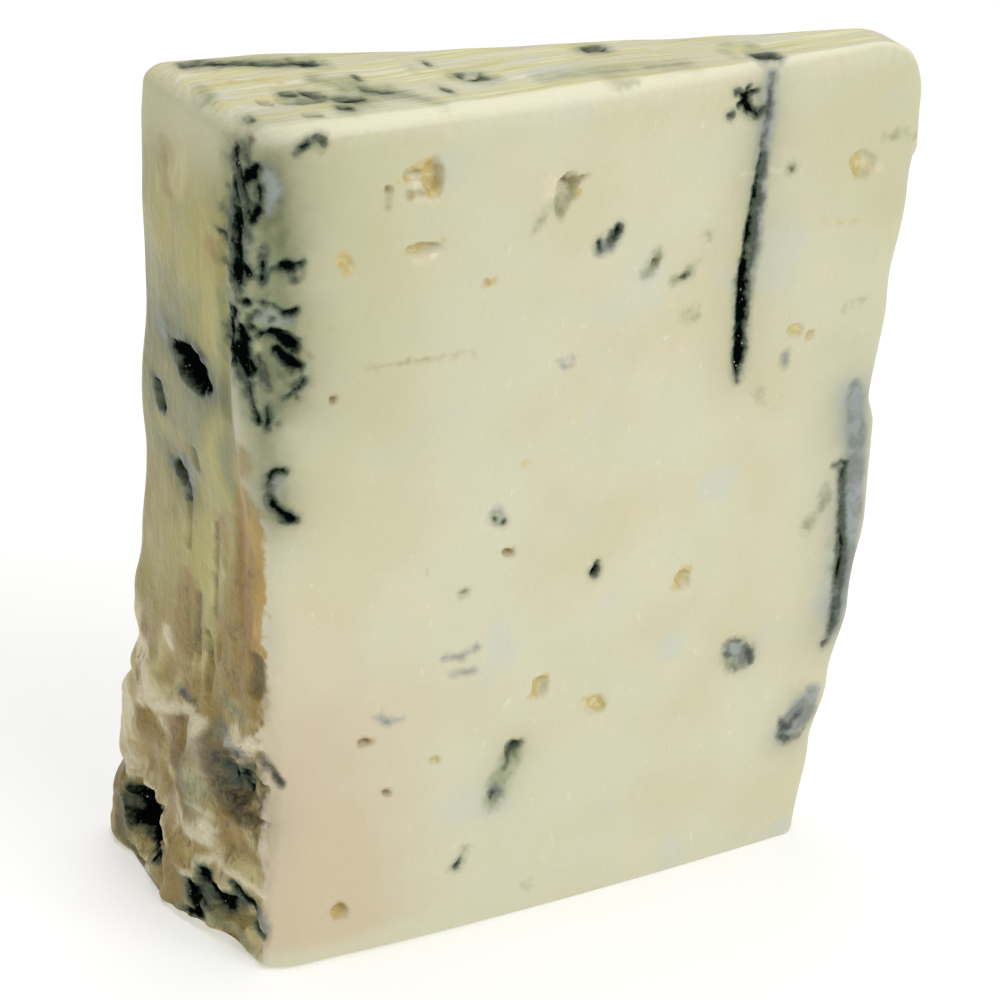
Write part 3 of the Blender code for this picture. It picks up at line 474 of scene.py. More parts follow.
TOP_STROKES = [
    ("mould", [(0.2, 21.2), (2.3, 21.1), (5.4, 19.5), (8.2, 17.8), (10.9, 17.3)],
     (0.18, 0.28, 0.15, 0.15, 0.18)),
    ("mould", [(11.3, 17.6), (12.4, 16.8), (13.6, 16.4)], (0.24, 0.36, 0.24)),
    ("green", [(0.5, 20.9), (7.3, 19.1), (14.6, 16.4)], (0.4, 0.45, 0.7)),
    ("ochre", [(1.3, 15.0), (2.6, 14.7), (3.5, 14.0)], 0.19), ("ochre", [(5.6, 13.7), (8.0, 12.4)], 0.12),
    ("green", [(-0.3, 13.3), (-0.8, 11.1), (-1.5, 11.4)], 0.62), ("ochre", [(-1.8, 12.3)], 0.34),
    ("ochre", [(-0.9, 10.1), (0.0, 9.1)], 0.28), ("mould", [(6.7, 8.8), (7.8, 8.3)], 0.14),
    ("mould", [(8.7, 8.2), (9.5, 7.4), (10.5, 7.1)], (0.22, 0.28, 0.12)),
    ("dark", [(5.5, 7.2), (7.6, 6.1), (10.0, 5.9)], (0.12, 0.2, 0.12)),
    ("dark", [(3.6, 7.5), (4.5, 7.0)], 0.16),
    ("mould", [(11.4, 5.5), (12.8, 5.2), (14.3, 5.0)], (0.12, 0.31, 0.1)),
    ("mould", [(10.8, 3.5), (11.8, 3.0)], 0.16), ("dark", [(6.6, 2.7), (8.1, 2.2)], 0.1),
    ("mould", [(15.4, 7.4), (16.5, 6.9), (17.9, 6.2)], 0.11),
    ("green", [(11.6, 11.8), (13.7, 9.7), (15.9, 8.6)], 0.7),
    ("green", [(13.2, 8.6), (15.7, 6.4), (18.3, 5.7), (20.0, 3.2), (21.6, 0.5)], (0.8, 0.95, 0.85, 0.6, 0.3)),
    ("green", [(6.5, 7.6), (9.3, 6.2), (13.0, 5.4)], 0.65), ("green", [(10.7, 3.4), (15.3, 4.3)], 0.6),
    ("mould", [(16.1, 10.7)], 0.19), ("mould", [(25.2, 12.5)], 0.16), ("green", [(23.0, 11.4)], 0.25),
    ("mould", [(23.3, 4.5), (23.7, 3.8)], 0.12), ("mould", [(0.6, 3.9), (1.1, 3.9)], 0.22),
    ("mould", [(26.7, 7.2), (27.7, 6.5), (29.0, 6.2)], (0.28, 0.41, 0.25)),
    ("green", [(25.7, 7.4), (30.1, 5.4)], 0.38), ("mould", [(43.2, 9.5), (44.9, 9.2)], 0.3),
    ("green", [(42.4, 9.6), (45.6, 9.0)], 0.5), ("mould", [(60.2, 1.2), (62.2, 0.9)], (0.25, 0.4)),
    ("halo", [(59.8, 1.2), (62.6, 0.8)], 0.6), ("green", [(58.4, 5.6), (59.6, 5.4)], 0.4),
    ("green", [(60.8, 4.2), (61.6, 4.0)], 0.35), ("green", [(57.3, 3.4), (58.0, 3.2)], 0.35),
    ("green", [(40.6, -0.4), (43.6, -0.8)], 0.45), ("green", [(34.0, 3.0), (52.0, 1.6)], (0.3, 0.5)),
]
# Soft hazes round the growths, as (kind, places, radius, reach, strength).
FRONT_HAZES = [
    ("haze", [(1.4, 100.5), (2.0, 96.0), (2.0, 90.0), (2.4, 84.0), (2.6, 78.5), (1.6, 74.0)], 1.0, 3.2, 0.74),
    ("haze", [(1.6, 74.0), (1.0, 67.0), (1.6, 60.5)], 0.8, 2.4, 0.55),
    ("haze", [(60.4, 99.0), (60.2, 90.0), (59.6, 80.0), (59.4, 68.5)], 0.7, 2.4, 0.26),
    ("mist", [(76.8, 60.5), (77.2, 52.0), (77.2, 44.0), (77.2, 36.0), (76.6, 29.5)], 0.8, 2.2, 0.6),
    ("mist", [(70.6, 15.6), (72.6, 18.4)], 1.4, 1.4, 0.45),
    ("mist", [(60.9, 102.5), (60.8, 92.0)], 0.5, 1.2, 0.3),
    ("haze", [(61.4, 29.4), (63.4, 28.4)], 1.0, 1.2, 0.3),
    ("haze", [(31.4, 23.2), (29.2, 18.0)], 0.6, 1.4, 0.35),
]
RIND_HAZES = [
    ("haze", [(16.4, 75.2), (12.0, 73.0)], 2.0, 1.6, 0.85),
    ("haze", [(18.4, 59.6), (17.4, 56.6)], 1.0, 1.5, 0.6),
    ("haze", [(21.6, 67.8), (20.9, 65.0)], 0.5, 1.2, 0.5), ("haze", [(8.6, 25.0), (6.6, 20.0)], 1.6, 2.0, 0.6),
]
# Hollows, as (two places on the face, half width, half height, depth).
FRONT_HOLLOWS = [
    (19.9, 97.4, 1.2, 2.1, 1.5), (17.6, 98.0, 1.2, 0.7, 0.8), (19.0, 89.5, 2.2, 0.6, 1.0),
    (35.9, 94.4, 1.4, 1.3, 1.3), (35.2, 92.2, 0.9, 1.6, 1.0), (41.2, 87.2, 1.0, 1.3, 0.5),
    (75.0, 90.4, 1.7, 1.8, 1.1), (53.8, 41.5, 1.1, 1.3, 1.0), (34.7, 31.6, 1.2, 1.4, 1.2),
    (42.3, 27.1, 1.6, 1.3, 0.9), (12.3, 29.2, 0.8, 0.5, 0.8), (8.9, 7.0, 1.2, 1.1, 1.3),
    (31.3, 23.4, 1.1, 1.5, 0.9), (29.0, 18.0, 1.0, 1.1, 0.4), (62.4, 28.7, 2.0, 1.9, 0.5),
    (71.3, 16.4, 1.7, 2.4, 0.5), (58.4, 100.5, 1.7, 1.7, 0.6), (9.8, 89.2, 0.9, 0.9, 0.5),
    (26.5, 84.4, 0.5, 0.5, 0.5), (67.0, 71.4, 1.2, 0.8, 0.6), (30.1, 50.3, 0.7, 0.5, 0.6),
    (21.1, 24.8, 0.6, 0.5, 0.5), (15.0, 21.7, 0.5, 0.4, 0.5), (8.4, 73.5, 0.35, 0.35, 0.5),
    (14.7, 96.3, 0.4, 0.9, 0.5), (47.4, 83.3, 0.5, 0.5, 0.5), (41.5, 45.4, 0.5, 0.6, 0.5),
    (69.2, 70.4, 0.7, 0.6, 0.5),
]
RIND_HOLLOWS = [
    (13.2, 73.5, 3.4, 2.6, 1.8), (21.4, 66.5, 1.0, 2.0, 1.0), (18.1, 58.1, 1.5, 1.5, 1.3),
    (5.0, 23.6, 4.0, 5.6, 2.0), (25.8, 7.2, 5.4, 4.8, 3.4), (7.6, 5.8, 5.4, 2.2, 2.0),
    (11.2, 35.4, 0.6, 3.4, 0.9), (13.9, 37.6, 0.5, 2.6, 0.7), (9.2, 39.6, 0.4, 2.2, 0.6),
]
# The hollows of the corner lie at places on the wedge itself. The top's are all of one size.
CORNER_HOLLOWS = [((2.6, -0.3, 79.6), (2.7, 2.7, 3.2), 1.3), ((2.0, -0.2, 62.4), (1.2, 1.2, 3.0), 0.7)]
TOP_HOLLOWS = [(27.9, 7.4), (44.0, 9.4), (61.3, 1.0)]
TOP_HOLLOW_HALF = (1.3, 0.8, 1.3)
TOP_HOLLOW_DEPTH = 0.8
# The hidden cut face: two needle channels as (along, foot, top), and (kind, how many, radius) of its growths.
HIDDEN_CHANNELS = ((21.0, 58.0, 104.0), (52.0, 8.0, 47.0))
HIDDEN_MARKS = (("mould", 12, 0.5), ("green", 12, 1.1), ("ochre", 16, 0.7), ("halo", 8, 0.7))
HIDDEN_HOLLOWS = 14
CHANNEL_STEP = 4.0
CHANNEL_HALO = 0.5


# The wedge's form.
def smooth_step(low, high, value):
    share = np.clip((value - low) / (high - low), 0.0, 1.0)
    return share * share * (3.0 - 2.0 * share)


def along(knots, value):
    """Follow an outline smoothly from knot to knot."""
    result = np.full_like(value, knots[0][1])
    for (low, first), (high, second) in zip(knots, knots[1:]):
        result = np.where(value > low, first + (second - first) * smooth_step(low, high, value), result)
    return result


def waves(points, size, height, stretch=EVEN):
    """Smooth noise at many points."""
    scaled = points * np.array(stretch) / size
    return height * np.array([noise.noise(Vector(p)) for p in scaled])


def clouds(points, size, octaves, stretch=EVEN, shift=0.0):
    """Noise in octaves at many points, from -0.5 to 0.5."""
    scaled = (points * np.array(stretch) + shift) / size
    full = 2.0 - 0.5 ** (octaves - 1)
    return np.array([noise.fractal(Vector(p), 1.0, 2.0, octaves) for p in scaled]) / (2.0 * full)


def pushed(points, size, amount):
    """Places pushed about by noise, so that patterns flow instead of repeating."""
    return points + amount * np.stack([clouds(points, size, 2, shift=shift) for shift in PUSH_SHIFTS], axis=1)


def cut_face(along_share, height):
    """How far the front cut face stands forward of its plane."""
    low = 1.0 - height / HEIGHT
    bow = FACE_BOW * np.sin(math.pi * np.clip(along_share, 0.0, 1.0))
    return bow + FOOT_BULGE * low * low * smooth_step(*FOOT_BULGE_START, along_share)


def rind_end_thickness(height):
    return RIND_END_THICKNESS + RIND_END_SAG * np.clip(1.0 - height / HEIGHT, 0.0, 1.0) ** RIND_SAG_POWER


def wedge_points(block):
    """Turn points of the block into places on the smooth wedge."""
    along_share = block[:, 0] / LENGTH
    through = block[:, 1] / RIND_END_THICKNESS
    height = block[:, 2]
    high_bend = 1.0 - np.clip(1.0 - through, 0.0, 1.0) ** BEND_POWER
    foot = 1.0 - smooth_step(*BEND_CHANGE, height)
    bend = high_bend * (1.0 - foot) + smooth_step(*FOOT_BEND, through) * foot
    front = along(RIND_FRONT_EDGE, height)
    left = front + (along(RIND_BACK_EDGE, height) - front) * bend
    right = along(POINT_EDGE, height) - POINT_BULGE * (2.0 * through - 1.0) ** 2
    x = left + (right - left) * along_share
    thick_left = rind_end_thickness(height)
    thick_right = POINT_THICKNESS + POINT_SAG * (1.0 - height / HEIGHT)
    thickness = thick_left + (thick_right - thick_left) * along_share
    bow = FACE_BOW * np.sin(math.pi * np.clip(along_share, 0.0, 1.0))
    y = -cut_face(along_share, height) + through * (thickness + BACK_BOW * bow)
    past = np.clip(x - POINT_EDGE[-1][1] + TOP_CORNER_RADIUS, 0.0, TOP_CORNER_RADIUS)
    drop = TOP_CORNER_RADIUS - np.sqrt(TOP_CORNER_RADIUS ** 2 - past ** 2)
    z = height - drop * smooth_step(TOP_CORNER_FOOT, HEIGHT, height)
    return np.stack([x, y, z], axis=1)


def cell_places(cells, length):
    """Places of the cell lines, with a few cells at each end in the rounded edge."""
    turns = [turn * math.pi / (4 * EDGE_CELLS) for turn in range(EDGE_CELLS, 0, -1)]
    band = [EDGE_RADIUS * (1.0 - math.tan(turn)) for turn in turns]
    inner = cells - 2 * EDGE_CELLS
    step = (length - 2.0 * EDGE_RADIUS) / inner
    middle = [EDGE_RADIUS + step * index for index in range(inner + 1)]
    return band + middle + [length - place for place in reversed(band)]


def rounded(block, size):
    """Move points of the block's skin onto the block with rounded edges."""
    radius = FOOT_RADIUS + (EDGE_RADIUS - FOOT_RADIUS) * smooth_step(0.0, FOOT_REACH, block[:, 2:3])
    inner = np.clip(block, radius, np.array(size) - radius)
    offset = block - inner
    length = np.maximum(np.linalg.norm(offset, axis=1, keepdims=True), 1e-9)
    return inner + offset / length * radius


# Places on the wedge's faces.
def on_front(x, z):
    return (x, -float(cut_face(np.array([x / LENGTH]), np.array([z]))[0]), z)


def on_back(x, z):
    return tuple(wedge_points(np.array([[x, RIND_END_THICKNESS, z]]))[0])


def on_rind(y, z):
    """A place on the rind end, so far behind the front edge and so high."""
    return tuple(wedge_points(np.array([[0.0, RIND_END_THICKNESS * y / rind_end_thickness(z), z]]))[0])


def on_top(x, y):
    return (x, y, HEIGHT)


def placed(strokes, place):
    """Strokes put on one face of the wedge."""
    return [(kind, [place(*spot) for spot in path], *rest) for kind, path, *rest in strokes]


def top_strokes():
    """The strokes of the top, where growths and cracks are thinner than they are drawn."""
    return [(kind, path, np.array(radius) * (TOP_THINNESS if kind in ("mould", "dark") else 1.0))
            for kind, path, radius in placed(TOP_STROKES, on_top)]


def hidden_strokes():
    """The back cut face, finished as the front is: two needle channels, growths and yellow pits."""
    strokes = []
    for x, low, high in HIDDEN_CHANNELS:
        path = [on_back(x + 0.5 * math.sin(z * 0.2), z) for z in np.arange(high, low, -CHANNEL_STEP)]
        radii = [0.25 + 0.6 * rng.random() * math.sin(math.pi * (i + 0.5) / len(path))
                 for i in range(len(path))]
        strokes.append(("mould", path, tuple(radii)))
        strokes.append(("halo", path, tuple(radius + CHANNEL_HALO for radius in radii)))
    for kind, count, size in HIDDEN_MARKS:
        for _ in range(count):
            x, z = rng.uniform(5.0, 76.0), rng.uniform(6.0, 100.0)
            path = [on_back(x, z), on_back(x + rng.uniform(-1.6, 1.6), z + rng.uniform(-2.0, 2.0))]
            strokes.append((kind, path, (size * rng.uniform(0.4, 1.0), size * rng.uniform(0.2, 0.8))))
    return strokes


def hollows():
    """Every hollow, as (place, direction into the paste, half sizes along, through and up, depth)."""
    found = [(on_front(x, z), INTO_FRONT, (wide, wide, tall), deep) for x, z, wide, tall, deep in FRONT_HOLLOWS]
    found += [(on_rind(y, z), INTO_RIND, (wide, wide, tall), deep) for y, z, wide, tall, deep in RIND_HOLLOWS]
    found += [(place, INTO_FRONT, half, deep) for place, half, deep in CORNER_HOLLOWS]
    found += [(on_top(x, y), INTO_TOP, TOP_HOLLOW_HALF, TOP_HOLLOW_DEPTH) for x, y in TOP_HOLLOWS]
    for _ in range(HIDDEN_HOLLOWS):
        x, z = rng.uniform(6.0, 74.0), rng.uniform(8.0, 98.0)
        size = rng.uniform(0.5, 1.8)
        found.append((on_back(x, z), INTO_BACK, (size, size, size * rng.uniform(0.6, 1.2)), 0.7 * size))
    return found


# The hidden strokes are drawn before the hollows, so that both keep their random draws.
MARKS = ((placed(FRONT_STROKES, on_front) + hidden_strokes(), EVEN),
         (CORNER_STROKES + placed(RIND_STROKES, on_rind) + top_strokes(), ASLANT))
HAZES = ((placed(FRONT_HAZES, on_front), EVEN), (placed(RIND_HAZES, on_rind), ASLANT))
HOLLOWS = hollows()


# Fields over the skin.
def fade(name, value):
    """How far a value lies through one of the fades."""
    return smooth_step(*FADES[name], value)


def stroke_distance(points, path, radius):
    """Distance of many points from a stroke's surface: below nothing inside it."""
    radii = np.broadcast_to(np.array(radius, float), (len(path),))
    if len(path) == 1:
        return np.linalg.norm(points - path[0], axis=1) - radii[0]
    best = np.full(len(points), 99.0)
    for start, end, first, last in zip(path, path[1:], radii, radii[1:]):
        line = end - start
        share = np.clip((points - start) @ line / (line @ line), 0.0, 1.0)
        gap = np.linalg.norm(points - start - share[:, None] * line, axis=1)
        best = np.minimum(best, gap - first - share * (last - first))
    return best


def haze_fields(points):
    """How strongly the hazes of each kind lie over many points."""
    fields = {"haze": np.zeros(len(points)), "mist": np.zeros(len(points))}
    for rows, squash in HAZES:
        for kind, path, radius, reach, strength in rows:
            gap = stroke_distance(points * np.array(squash), np.array(path) * np.array(squash), radius)
            fields[kind] = np.maximum(fields[kind], strength * np.exp(-np.maximum(gap, 0.0) / reach))
    return fields


def stroke_fields(points):
    """For each kind of mark, the distance of many points from the nearest one."""
    fields = {kind: np.full(len(points), FIELD_FAR) for kind in KINDS}
    for strokes, squash in MARKS:
        seen = points * np.array(squash)
        for kind, path, radius in strokes:
            path = np.array(path) * np.array(squash)
            near = np.all((seen > path.min(axis=0) - FIELD_FAR) & (seen < path.max(axis=0) + FIELD_FAR), axis=1)
            fields[kind][near] = np.minimum(fields[kind][near], stroke_distance(seen[near], path, radius))
    return fields


def hollow_field(points, found):
    """How far each point sinks into the paste, and in which direction."""
    sink = np.zeros_like(points)
    ragged = waves(points, *HOLLOW_WAVES[0]) + waves(points + HOLLOW_WAVE_SHIFT, *HOLLOW_WAVES[1])
    even, rough = HOLLOW_FLOOR
    for place, inward, half, depth in found:
        offset = (points - np.array(place)) / np.array([max(part, HOLLOW_LEAST_HALF) for part in half])
        through = np.abs(offset @ np.abs(inward)) * (1.0 if inward == INTO_TOP else HOLLOW_DEPTH_WEIGHT)
        flat = np.sqrt(np.maximum((offset ** 2).sum(axis=1) - (offset @ np.array(inward)) ** 2, 0.0))
        reach = np.sqrt(flat ** 2 + through ** 2) * (1.0 + ragged)
        shape = 1.0 - smooth_step(*HOLLOW_WALL, reach)
        sink += (shape * depth * (even + rough * ragged))[:, None] * np.array(inward)
    return sink


def marked_zone(block_points, reach):
    """Which points lie near anything that needs a fine skin."""
    smooth = wedge_points(rounded(block_points, BLOCK_SIZE))
    fields = stroke_fields(smooth)
    near = (fields["mould"] < reach) | (fields["white"] < reach * 0.5) | (fields["dark"] < reach * 0.5)
    wider = [(place, inward, [part + reach for part in half], depth) for place, inward, half, depth in HOLLOWS]
    near |= np.linalg.norm(hollow_field(smooth, wider), axis=1) > HOLLOW_TRACE
    rind_end = (block_points[:, 0] < EDGE_RADIUS) & (smooth[:, 2] < CRAGGY_HEIGHT)
    return near | (rind_end & (reach > 1.0))


def fine_block():
    """The block's skin with small cells wherever the cheese is marked."""
    mesh = bmesh.new()
    bmesh.ops.create_cube(mesh, size=1.0)
    for axis in range(3):
        edges = [e for e in mesh.edges if abs((e.verts[0].co - e.verts[1].co)[axis]) > 0.5]
        bmesh.ops.subdivide_edges(mesh, edges=edges, cuts=CELLS[axis] - 1, use_grid_fill=True)
    places = [cell_places(CELLS[axis], BLOCK_SIZE[axis]) for axis in range(3)]
    for vertex in mesh.verts:
        vertex.co = [places[axis][round((vertex.co[axis] + 0.5) * CELLS[axis])] for axis in range(3)]
    for reach in FINE_REACH:
        marked = marked_zone(np.array([v.co for v in mesh.verts]), reach)
        mesh.verts.index_update()
        edges = [e for e in mesh.edges if marked[e.verts[0].index] or marked[e.verts[1].index]]
        bmesh.ops.subdivide_edges(mesh, edges=edges, cuts=1, use_grid_fill=True)
    bmesh.ops.triangulate(mesh, faces=[f for f in mesh.faces if len(f.verts) > 4])
    return mesh


def standing(mark, distance):
    """How far a mark stands out of the skin, at many distances from it."""
    height, low, high = mark
    return height * (1.0 - smooth_step(low, high, distance))


def relief(points, normals, fields, rind):
    """Height of the skin over the smooth wedge."""
    height = waves(points, *SMOOTH_WAVE) + waves(points, *KNIFE_WAVE)
    low = 1.0 - smooth_step(CRAG_FOOT, CRAG_TOP, points[:, 2])
    craggy = low * (1.0 - smooth_step(0.0, CRAG_DEPTH, points[:, 0]))
    craggy *= 1.0 - smooth_step(*CRAG_FACING, normals[:, 0])
    height += craggy * waves(points, *CRAG_WAVE, stretch=CRAG_STRETCH)
    bent = pushed(points, *FOLD_PUSH)
    folds = np.abs(waves(bent, *FOLD_WAVE, stretch=FOLD_STRETCH)) - FOLD_SINK * FOLD_WAVE[1]
    height += rind * low * (folds + np.abs(waves(bent, *CRUMB_WAVE, stretch=CRUMB_STRETCH)))
    height += rind * waves(points, *RIDGE_WAVE, stretch=RIDGE_STRETCH)
    crease = np.exp(-(((points[:, 1] - CREASE_AT) / CREASE_WIDTH + waves(points, *CREASE_WAVE)) ** 2))
    height -= CREASE_DEPTH * rind * crease * smooth_step(*CREASE_FOOT, points[:, 2])
    height += standing(PALE_RELIEF, fields["white"]) * (PALE_ON_PASTE + (1.0 - PALE_ON_PASTE) * rind)
    height += standing(GROOVE_RELIEF, fields["mould"] + waves(points, *GROOVE_WAVE))
    height += standing(DARK_RELIEF, fields["dark"])
    height += standing(BROWN_RELIEF, fields["brown"]) * (1.0 - rind)
    return height * smooth_step(0.0, FOOT_BAND, points[:, 2])


def zones(points, normals, rind):
    """Where the paste and the rind change their tone, as shares by name; shade and edge are painted shade and
    highlight.
    """
    x, y, z = points.T
    # High up, the rind's colour stops short of the corner; low down it runs over it raggedly.
    from_edge = x - along(RIND_FRONT_EDGE, z)
    low_rind = np.where(y < CORNER_DEPTH, 1.0 - fade("over corner", from_edge), rind)
    high = fade("high", z)
    high_rind = rind * fade("behind corner", y) * (1.0 - fade("under top", z))
    behind = y + cut_face(np.zeros(len(points)), z)
    dull = DULL_LEFT * (1.0 - fade("dull left", x)) * fade("dull left foot", z)
    dull += DULL_TOP * fade("dull top", z)
    dull += DULL_RIGHT * fade("dull right", x) * fade("dull right foot", z)
    # The painted highlight lies where the skin faces forward, over the rounded top front edge and a band under
    # the top.
    front = fade("painted highlight front", -normals[:, 1])
    return {
        "rind": (1.0 - high) * low_rind + high * high_rind,
        "high": high,
        "dusk": fade("dusk foot", z) * (1.0 - fade("dusk top", z)),
        "top": fade("top facing", normals[:, 2]),
        "peach": (1.0 - fade("peach top", z)) * (1.0 - fade("peach end", x)) * fade("peach foot", z),
        "ripe": 1.0 - fade("ripe", z),
        # Painted shade: the rind end darkens the further it lies behind the cut face.
        "shade": fade("shade", behind),
        "strip": (1.0 - fade("strip", behind)) * (1.0 - fade("strip top", z)) * rind,
        "dull": dull * (1.0 - fade("dull facing", normals[:, 2])),
        "edge": np.maximum(fade("painted highlight up", normals[:, 2]), PAINTED_HIGHLIGHT_BAND_SHARE * fade("painted highlight band", z)) * front,
    }


def cloud_fields(points):
    """The noise that the colours are clouded with, by name."""
    return {name: clouds(points if push is None else pushed(points, *push), size, octaves, stretch, shift)
            for name, size, octaves, stretch, shift, push in CLOUDS}


def linked(name, mesh):
    """A new piece of the scene."""
    piece = bpy.data.objects.new(name, mesh)
    bpy.context.scene.collection.objects.link(piece)
    return piece


def cheese_skin():
    """The wedge with all its marks, as one closed piece."""
    block_mesh = fine_block()
    mesh = bpy.data.meshes.new("dressed_wedge")
    block_mesh.to_mesh(mesh)
    block_mesh.free()
    block = np.empty(len(mesh.vertices) * 3)
    mesh.vertices.foreach_get("co", block)
    smooth = wedge_points(rounded(block.reshape(-1, 3), BLOCK_SIZE))
    mesh.vertices.foreach_set("co", smooth.ravel())
    mesh.update()
    normals = np.array([v.normal for v in mesh.vertices])
    marks = stroke_fields(smooth)
    rind = 1.0 - fade("rind facing", normals[:, 0])
    above_foot = smooth_step(0.0, FOOT_BAND, smooth[:, 2])[:, None]
    sink = hollow_field(smooth, HOLLOWS) * above_foot
    shaped = smooth + normals * relief(smooth, normals, marks, rind)[:, None] + sink
    chip_at, chip_half, chip_height = FOOT_CHIP
    past = (((smooth[:, :2] - np.array(chip_at)) / np.array(chip_half)) ** 2).sum(axis=1)
    shaped[:, 2] = np.maximum(shaped[:, 2], chip_height * np.sqrt(np.maximum(1.0 - past, 0.0)))
    mesh.vertices.foreach_set("co", ((shaped - FRAME_ORIGIN) * MM).ravel())
    for fields in (marks, haze_fields(smooth), zones(smooth, normals, rind), cloud_fields(smooth)):
        for name, values in fields.items():
            layer = mesh.attributes.new(name, "FLOAT", "POINT")
            layer.data.foreach_set("value", np.asarray(values, np.float32))
    mesh.update()
    for polygon in mesh.polygons:
        polygon.use_smooth = True
    return linked("dressed_wedge", mesh)


# Materials.
def srgb(red, green, blue):
    """A colour given as it shows on a screen, as the shader's linear one."""
    parts = [part / 255.0 for part in (red, green, blue)]
    return tuple(p / 12.92 if p <= 0.04045 else ((p + 0.055) / 1.055) ** 2.4 for p in parts) + (1.0,)


class Shade:
    """One socket of a material, with its maths written as Python expressions."""

    def __init__(self, tree, socket):
        self.tree = tree
        self.socket = socket

    def node(self, kind, settings=None, inputs=None, output=0):
        made = self.tree.nodes.new(kind)
        for name, value in (settings or {}).items():
            setattr(made, name, value)
        for name, value in (inputs or {}).items():
            if isinstance(value, Shade):
                self.tree.links.new(value.socket, made.inputs[name])
            else:
                made.inputs[name].default_value = value
        return Shade(self.tree, made.outputs[output])

    def math(self, operation, *values):
        return self.node("ShaderNodeMath", {"operation": operation}, dict(enumerate(values)))

    def __add__(self, other):
        return self.math("ADD", self, other)

    def __sub__(self, other):
        return self.math("SUBTRACT", self, other)

    def __mul__(self, other):
        return self.math("MULTIPLY", self, other)

    def __radd__(self, other):
        return self.math("ADD", other, self)

    def __rsub__(self, other):
        return self.math("SUBTRACT", other, self)

    def __rmul__(self, other):
        return self.math("MULTIPLY", other, self)

    def size(self):
        """This value without its sign."""
        return self.math("ABSOLUTE", self)

    def above(self, low, high):
        """Nothing below low, all above high, smooth between."""
        return self.node("ShaderNodeMapRange", {"interpolation_type": "SMOOTHSTEP"},
                         {"Value": self, "From Min": low, "From Max": high})

    def below(self, low, high):
        return 1.0 - self.above(low, high)

    def colour(self, name):
        """One of the named colours."""
        made = self.node("ShaderNodeRGB")
        made.socket.default_value = srgb(*COLOURS[name])
        return made

    def mixed(self, other, factor):
        """This colour turned by a factor towards another, which may be given by its name."""
        other = self.colour(other) if isinstance(other, str) else other
        inputs = {"Factor": factor, "A": self, "B": other}
        return self.node("ShaderNodeMix", {"data_type": "RGBA"}, inputs, output=2)


class Surface:
    """A material, with the coordinates and fields that its colours are made from."""

    def __init__(self, name):
        self.material = bpy.data.materials.new(name)
        self.material.use_nodes = True
        self.tree = self.material.node_tree
        self.shader = self.tree.nodes["Principled BSDF"]
        self.base = Shade(self.tree, None)
        place = self.base.node("ShaderNodeTexCoord", output=3)
        inputs = {0: place, "Scale": 1.0 / MM}
        self.place = self.base.node("ShaderNodeVectorMath", {"operation": "SCALE"}, inputs)

    def field(self, name):
        return self.base.node("ShaderNodeAttribute", {"attribute_name": name}, output=2)

    def colour(self, name):
        return self.base.colour(name)

    def grain(self, size, detail=2.0, stretch=EVEN, seed=0.0, roughness=0.5):
        """Noise about nothing, from -0.5 to 0.5, whose features are about so many millimetres."""
        inputs = {"Vector": self.place, "Scale": stretch, "Location": (seed, seed * 0.7, seed * 1.3)}
        moved = self.base.node("ShaderNodeMapping", {}, inputs)
        inputs = {"Vector": moved, "Scale": 1.0 / size, "Detail": detail, "Roughness": roughness}
        return self.base.node("ShaderNodeTexNoise", {}, inputs) - 0.5

    def feed(self, name, value):
        if isinstance(value, Shade):
            self.tree.links.new(value.socket, self.shader.inputs[name])
        else:
            self.shader.inputs[name].default_value = value

    def bump(self, height):
        """Raise the surface by a height in millimetres."""
        inputs = {"Height": height, "Distance": MM, "Strength": 1.0}
        self.feed("Normal", self.base.node("ShaderNodeBump", {}, inputs))

    def over(self, share, colour, roughness, specular):
        """Lay a second, plainer surface over the first by a share."""
        first = Shade(self.tree, self.shader.outputs["BSDF"])
        inputs = {"Base Color": colour, "Roughness": roughness, "Specular IOR Level": specular}
        second = self.base.node("ShaderNodeBsdfPrincipled", {}, inputs)
        both = self.base.node("ShaderNodeMixShader", {}, {0: share, 1: first, 2: second})
        self.tree.links.new(both.socket, self.tree.nodes["Material Output"].inputs["Surface"])


def paste_colour(look, flecks, thread):
    """Cream paste: yellower and greyer by turns, peach towards the ripe foot, olive smears on the top,
    and a painted highlight along the top front edge.
    """
    coarse, cloud = look.field("coarse"), look.field("cloud")
    colour = look.colour("cream").mixed("deep cream", coarse.above(-0.1, 0.18))
    colour = colour.mixed("warm cream", cloud.above(0.0, 0.25) * 0.5)
    colour = colour.mixed("cool veil", look.field("veil").above(0.08, 0.26) * 0.6)
    colour = colour.mixed("pale fleck", flecks.above(0.14, 0.26) * 0.5)
    colour = colour.mixed("dull cream", look.field("dull") * (0.55 + coarse))
    colour = colour.mixed("peach", (look.field("peach") + cloud * 0.4).above(0.1, 1.0) * 0.85)
    smear = look.grain(2.0, detail=3.0, stretch=(0.09, 1.0, 1.0), seed=61.0)
    top = colour.mixed("top smear", (smear + cloud * 0.4).above(-0.04, 0.12) * 0.8)
    top = top.mixed("top olive", (thread + smear * 0.6).above(0.1, 0.22) * 0.45)
    top = top.mixed("top streak", (thread * -1.0 + cloud * 0.2).above(0.06, 0.18) * 0.5)
    colour = colour.mixed(top, look.field("top"))
    # A painted highlight along the top front edge.
    return colour.mixed("lit edge", (look.field("edge") + flecks * 0.3).above(0.1, 1.0) * 0.85)


